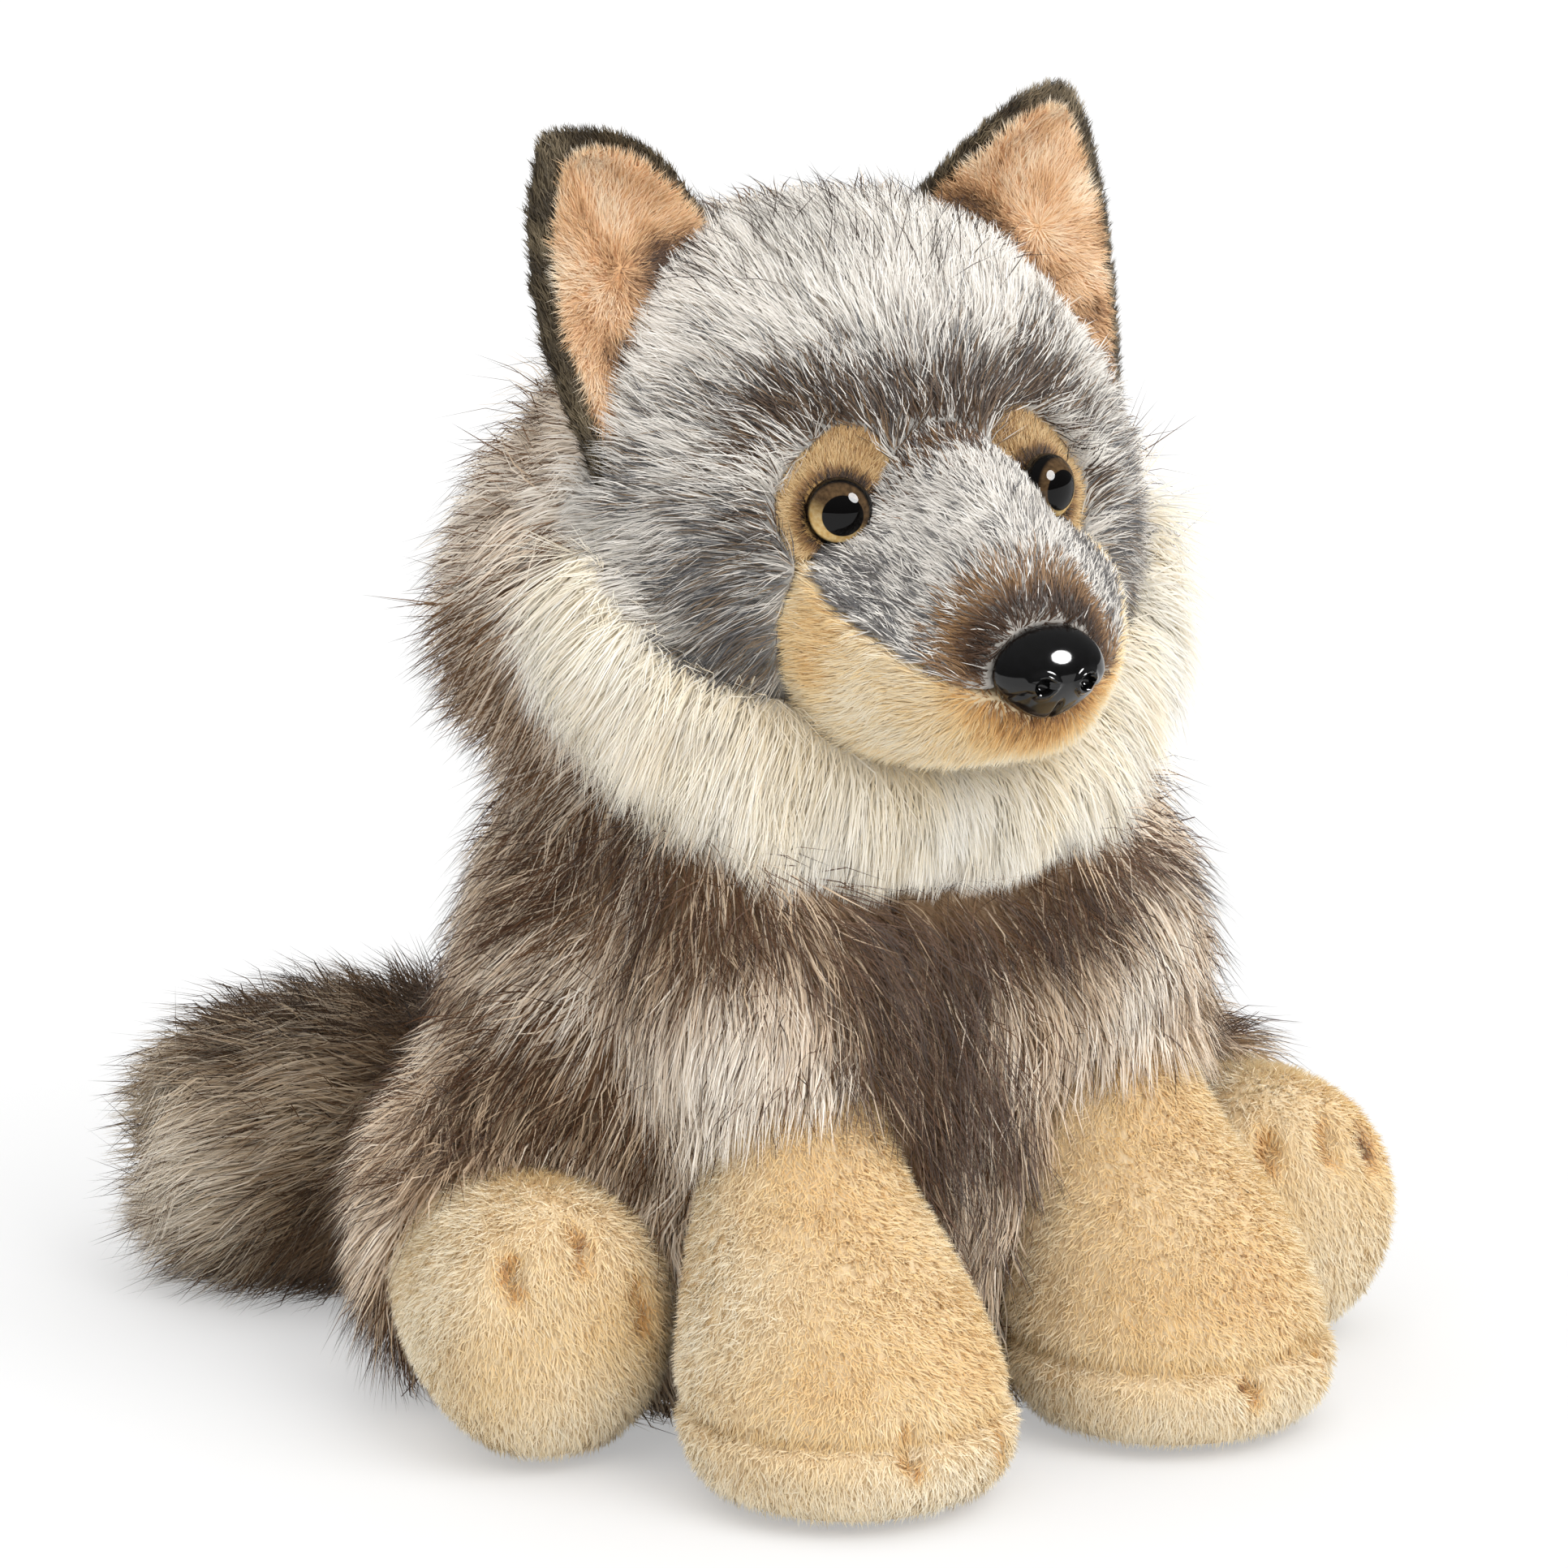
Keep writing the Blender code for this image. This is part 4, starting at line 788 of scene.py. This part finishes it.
bmesh.ops.spin(
    cast, geom=verts + edges, axis=(0, 0, 1), cent=(0, 0, 0), angle=2 * math.pi, steps=96, use_merge=True,
)
bmesh.ops.remove_doubles(cast, verts=cast.verts, dist=1e-6)
bmesh.ops.recalc_face_normals(cast, faces=cast.faces)
unit_points = np.array([vert.co[:] for vert in cast.verts])
below = np.maximum(-unit_points[:, 1], 0)
narrow = 1 - 0.30 * below ** 1.5
dome = unit_points[:, 2] >= 0
x = unit_points[:, 0] * np.where(unit_points[:, 2] > -0.31, narrow, 1) * NOSE_WIDE / 2
y = unit_points[:, 1] * NOSE_TALL / 2
z = unit_points[:, 2] * (1 - np.where(dome, 0.42 * below, 0)) * NOSE_PROUD
post = unit_points[:, 0] ** 2 + unit_points[:, 1] ** 2 < 0.18 ** 2
post &= unit_points[:, 2] < 0
x, y = np.where(post, unit_points[:, 0] * NOSE_TALL / 2 * 1.29, x), np.where(post, y * 1.29, y)
side_x = np.abs(x)
from_nostril = np.hypot(side_x - NOSTRIL[0], y - NOSTRIL[1])
slit = SLIT_END - NOSTRIL
away_x, away_y = side_x - NOSTRIL[0], y - NOSTRIL[1]
way = np.clip((away_x * slit[0] + away_y * slit[1]) / (slit ** 2).sum(), 0, 1)
from_slit = np.hypot(away_x - way * slit[0], away_y - way * slit[1])
worked = 0.0010 * np.exp(-((from_nostril - 0.0025) / 0.00055) ** 2)
worked -= 0.0024 * np.clip(1 - from_nostril / 0.0019, 0, 1) ** 0.6
worked -= 0.0011 * np.exp(-(from_slit / 0.00045) ** 2) * np.clip((from_nostril - 0.0024) / 0.0008, 0, 1)
worked -= 0.0016 * np.exp(-(x / 0.00045) ** 2) * np.clip((-y - 0.0042) / 0.0020, 0, 1)
z = z + np.where(dome, worked, 0)
across, upward = Vector((1, 0, 0)), out.cross(Vector((1, 0, 0)))
for vert, place in zip(cast.verts, zip(x, y, z)):
    vert.co = seat + across * place[0] + upward * place[1] + out * place[2]
mesh = bpy.data.meshes.new("nose_moulding")
cast.to_mesh(mesh)
cast.free()
mesh.shade_smooth()
mesh.set_sharp_from_angle(angle=math.radians(60))
mesh.materials.append(black_abs)
nose = bpy.data.objects.new("nose_moulding", mesh)
bpy.context.scene.collection.objects.link(nose)
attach(nose, "root")
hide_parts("nose")
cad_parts["nose_washer"].data.materials.clear()
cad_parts["nose_washer"].data.materials.append(white_nylon)

# Ears
# Each ear is a dark olive-brown panel of short pile sewn to an orange-tan lining, set in from the rim and
# turned with no stuffing to speak of. The lining is painted brown along the fold at the ear's foot as
# painted shade, and paler in spots towards its rim as painted light.

olive_backing = knitted_backing("polyester_knit_olive", "#2c251b", "#453b2c")
olive_pile = acrylic_pile(
    "acrylic_short_pile_olive",
    ((0.0, "#2c241a"), (0.5, "#574a36"), (1.0, "#83745a")),
    ((0.0, "#332a1e"), (0.5, "#6b5d45"), (1.0, "#9d8c6f")),
    ((0.0, "#2e261b"), (0.5, "#7d6f57"), (1.0, "#b5a68a")),
    tip_from=0.4,
)
apricot_backing = knitted_backing("polyester_knit_apricot", "#dba877", "#eec59a")
apricot_pile = acrylic_pile(
    "acrylic_short_pile_apricot",
    ((0.0, "#4a3020"), (0.25, "#9d6f45"), (0.5, "#e6b380"), (1.0, "#f9dcb4")),
    ((0.0, "#53361f"), (0.25, "#ae7f52"), (0.5, "#f0c38f"), (1.0, "#fee9c8")),
    ((0.0, "#5c3d25"), (0.25, "#bd8f60"), (0.5, "#f8d2a2"), (1.0, "#fff6e4")),
    tip_from=0.4,
)
for number, side in enumerate(("right", "left")):
    sign = -1 if side == "right" else 1
    back_skin = stuffed_skin(
        "ear_back_" + side, 0.0006, olive_backing, voxel=0.0013, rounds=3,
    )
    points, normals = scatter(back_skin, 0.0012, 4.0, 120 + number)
    draw = np.random.default_rng(122 + number)
    tones = 0.45 + 0.16 * patches(points, 0.006, 124 + number) + 0.12 * draw.normal(size=len(points))
    comb = np.array((0.35 * sign, 0.1, 1.0)) + 0.25 * draw.normal(size=(len(points), 3))
    grow(
        f"ear_back_{side}_fur", points, normals, comb, 0.0034, tones, olive_pile, "ear_fur", 126 + number,
        width=0.00028, lift=0.6, clump=0.3, tuft=7, steps=1, droop=0,
    )
    lining_skin = stuffed_skin(
        "ear_lining_" + side, 0.0002, apricot_backing, voxel=0.0010, rounds=3,
    )
    points, normals = scatter(lining_skin, 0.001, 6.0, 130 + number)
    draw = np.random.default_rng(132 + number)
    mirrored = points * (-sign, 1, 1)
    # Painted light and shade: the positive spots darken the lining along the fold, where shade falls, and
    # the negative ones lighten it towards the rim, where light catches.
    brown = near(mirrored, (
        (-40, 13, 256, 7, 0.8), (-46, 10, 248, 7, 0.75), (-36, 14, 260, 6, 0.5), (-52, 5, 238, 8, 0.6),
        (-57, 2, 231, 7, 0.5), (-52, 12, 266, 6, 0.25), (-57, 22, 281, 9, -0.2), (-68, 14, 262, 8, -0.25),
        (-66, 8, 248, 7, -0.25), (-46, 18, 268, 5, -0.2),
    ))
    count = len(points)
    tones = 0.66 + 0.14 * patches(points, 0.006, 134 + number) + 0.12 * draw.normal(size=count) - 0.6 * brown
    comb = unit(points - points.mean(0)) + np.array((0, -0.1, 0.35)) + 0.3 * draw.normal(size=(count, 3))
    grow(
        f"ear_lining_{side}_fur", points, normals, comb, 0.0046, tones, apricot_pile, "lining_fur",
        136 + number, width=0.00028, lift=0.6, clump=0.35, tuft=9, steps=1, droop=0,
    )

# Paws
# Four stuffed feet of short beige pile. A stitched seam runs round each sole, and the toes are marked by
# short pulled stitches. The pile is painted darker in each stitch's dent and along the front soles' seam,
# as painted shade.

def on_skin(piece, places):
    """The same places, each moved to the nearest point of the skin."""
    found = [piece.closest_point_on_mesh(Vector(place[:3]) / 1000)[1] * 1000 for place in places]
    return [(*point, *place[3:]) for point, place in zip(found, places)]


def dent(piece, places):
    """Pulls a skin in round each stitch, given as (x, y, z, radius, depth) in millimetres."""
    points = numbers(piece.data.vertices, "co", 3)
    pulled = near(points, places)[:, None] * numbers(piece.data.vertices, "normal", 3) / 1000
    piece.data.vertices.foreach_set("co", (points - pulled).ravel())
    piece.data.update()


def stitch(x, y, z, rise, radius=2.6, depth=1.6):
    """A short upright stitch: five places in a row."""
    return [(x, y, z + rise * step / 2, radius, depth) for step in (-2, -1, 0, 1, 2)]


PAWS = {
    "front_paw_right": stitch(-41, -109, 20, 3) + stitch(-15, -101, 14, 3),
    "front_paw_left": stitch(49, -98, 18, 3) + stitch(73, -86, 17, 3),
    "hind_paw_right": stitch(-87, -41, 54, 5) + stitch(-103, -39, 48, 4) + stitch(-72, -42, 38, 5),
    "hind_paw_left": stitch(100, -42, 51, 5) + stitch(110, -38, 47, 4) + stitch(84, -42, 52, 4),
}
SOLE_SEAM, SEAM_WIDTH, SEAM_DEPTH = 0.021, 0.0022, 0.0022
for number, (node, stitches) in enumerate(PAWS.items()):
    skin = stuffed_skin(node, 0.0014, beige_backing, voxel=0.0019, rounds=5)
    points = numbers(skin.data.vertices, "co", 3)
    front = node.startswith("front")
    seam = np.exp(-((points[:, 2] - SOLE_SEAM) / SEAM_WIDTH) ** 2) if front else np.zeros(len(points))
    groove = (seam * SEAM_DEPTH)[:, None] * numbers(skin.data.vertices, "normal", 3)
    skin.data.vertices.foreach_set("co", (points - groove).ravel())
    skin.data.update()
    stitches = on_skin(skin, stitches)
    dent(skin, stitches)
    stitches = on_skin(skin, stitches)
    points, normals = scatter(skin, 0.0016, 3.0, 140 + number)
    draw = np.random.default_rng(144 + number)
    face = np.clip(-normals[:, 1], 0, 1)
    tones = 0.93 + 0.04 * patches(points, 0.02, 148 + number) + 0.05 * draw.normal(size=len(points))
    tones -= (0.30 if front else 0.16) * face * np.clip((points[:, 2] - 0.012) / 0.02, 0, 1)
    # Painted shade along the front soles' seam groove.
    if front:
        tones -= 0.12 * np.exp(-((points[:, 2] - 0.0215) / 0.0014) ** 2)
    # Painted shade: the pile darkens in the dent round each stitch, where shade falls.
    stitch_shade = [(x, y, z, 2.0, 0.36) for x, y, z, radius, depth in stitches]
    tones -= np.clip(near(points, stitch_shade), 0, 0.62)
    comb = np.array((0, -0.35, -1)) + 0.3 * swirl(points, 0.015, 152)
    grow(
        node + "_fur", points, normals, comb, 0.0040, tones, beige_pile, "paw_fur", 155 + number,
        width=0.00034, lift=0.72, clump=0.08, tuft=6, steps=1, droop=0, loose=0.5,
    )

# Studio
# A plain pale sweep in a pale room, under a large soft key from the upper right and an even overhead
# light. One softbox shows only in glossy plastic, where the room is dimmer.

def sweep_paint(name, dark, light, lift):
    """Matt white paint with the faintest mottle, lifted for the camera and in reflections, not in light."""
    made = bpy.data.materials.new(name)
    made.use_nodes = True
    tree = made.node_tree
    shader = tree.nodes["Principled BSDF"]
    place = add(tree, "ShaderNodeTexCoord").outputs["Object"]
    mottle = add(tree, "ShaderNodeTexNoise", {"Scale": 3.0}, {"Vector": place})
    shade = dye_ramp(tree, ((0.3, dark), (0.7, light)), mottle.outputs[0])
    tree.links.new(shade, shader.inputs["Base Color"])
    shader.inputs["Roughness"].default_value = 0.9
    shader.inputs["Specular IOR Level"].default_value = 0.0
    rays = add(tree, "ShaderNodeLightPath").outputs
    kinds = {0: rays["Is Camera Ray"], 1: rays["Is Glossy Ray"]}
    seen = add(tree, "ShaderNodeMath", links=kinds, operation="ADD").outputs[0]
    kinds = {0: seen, 1: rays["Is Transmission Ray"]}
    shown = add(tree, "ShaderNodeMath", links=kinds, operation="ADD").outputs[0]
    share = add(tree, "ShaderNodeMath", {1: lift}, {0: shown}, operation="MULTIPLY").outputs[0]
    white = add(tree, "ShaderNodeEmission", {"Color": (1, 1, 1, 1), "Strength": 1.0}).outputs[0]
    both = add(tree, "ShaderNodeMixShader", links={0: share, 1: shader.outputs[0], 2: white})
    tree.links.new(both.outputs[0], tree.nodes["Material Output"].inputs["Surface"])
    return made


board = bmesh.new()
bmesh.ops.create_grid(board, x_segments=1, y_segments=1, size=6.0)
mesh = bpy.data.meshes.new("floor")
board.to_mesh(mesh)
board.free()
mesh.materials.append(sweep_paint("matt_paint_white", "#e9e9e9", "#ebebeb", 0.4))
floor = bpy.data.objects.new("floor", mesh)
bpy.context.scene.collection.objects.link(floor)

world = bpy.data.worlds.new("pale_room")
world.use_nodes = True
sky = world.node_tree
heading = add(sky, "ShaderNodeTexCoord").outputs["Generated"]
upward = add(sky, "ShaderNodeSeparateXYZ", links={0: heading})
glow = add(sky, "ShaderNodeMapRange", {1: 0.0, 2: 1.0, 3: 0.55, 4: 1.15}, {0: upward.outputs["Z"]})
sky.nodes["Background"].inputs["Color"].default_value = (1, 1, 1, 1)
path = add(sky, "ShaderNodeLightPath").outputs["Is Glossy Ray"]
dimmed = add(sky, "ShaderNodeMapRange", {1: 0.0, 2: 1.0, 3: 1.0, 4: 0.25}, {0: path})
strength = add(sky, "ShaderNodeMath", links={0: glow.outputs[0], 1: dimmed.outputs[0]}, operation="MULTIPLY")
sky.links.new(strength.outputs[0], sky.nodes["Background"].inputs["Strength"])
bpy.context.scene.world = world

AZIMUTH, ELEVATION = math.radians(-26.8), math.radians(15.1)
DISTANCE = 2.0
RIGHTWARD, DOWNWARD = -0.0155, -0.0242
back = Vector((
    math.sin(AZIMUTH) * math.cos(ELEVATION), -math.cos(AZIMUTH) * math.cos(ELEVATION), math.sin(ELEVATION),
))
right = Vector((math.cos(AZIMUTH), math.sin(AZIMUTH), 0))
rise = back.cross(right)
target = Vector((0, 0, 0.160)) + right * RIGHTWARD + Vector((0, 0, DOWNWARD))


def aim(obj, place):
    obj.location = place
    obj.rotation_euler = (target - place).to_track_quat("-Z", "Y").to_euler()
    bpy.context.scene.collection.objects.link(obj)


for name, strength, spread, place in (
    ("key_softbox", 1.3, 45, back * 0.9 + right * 0.8 + rise * 0.75),
    ("overhead", 0.4, 70, Vector((-0.3, -0.4, 2.0))),
    ("catch_light", 7.0, 30, back * 0.9 + right * 0.95 + rise * 0.7),
):
    lamp = bpy.data.lights.new(name, "SUN")
    lamp.energy = strength
    lamp.angle = math.radians(spread)
    softbox = bpy.data.objects.new(name, lamp)
    softbox.visible_diffuse = name != "catch_light"
    softbox.visible_glossy = name == "catch_light"
    aim(softbox, target + place)

lens = bpy.data.cameras.new("camera")
lens.sensor_width = 36.0
lens.lens = 207.04
lens.clip_start = 0.1
lens.clip_end = 50.0
camera = bpy.data.objects.new("camera", lens)
aim(camera, target + back * DISTANCE)
bpy.context.scene.camera = camera
bpy.context.scene.view_settings.view_transform = "Standard"
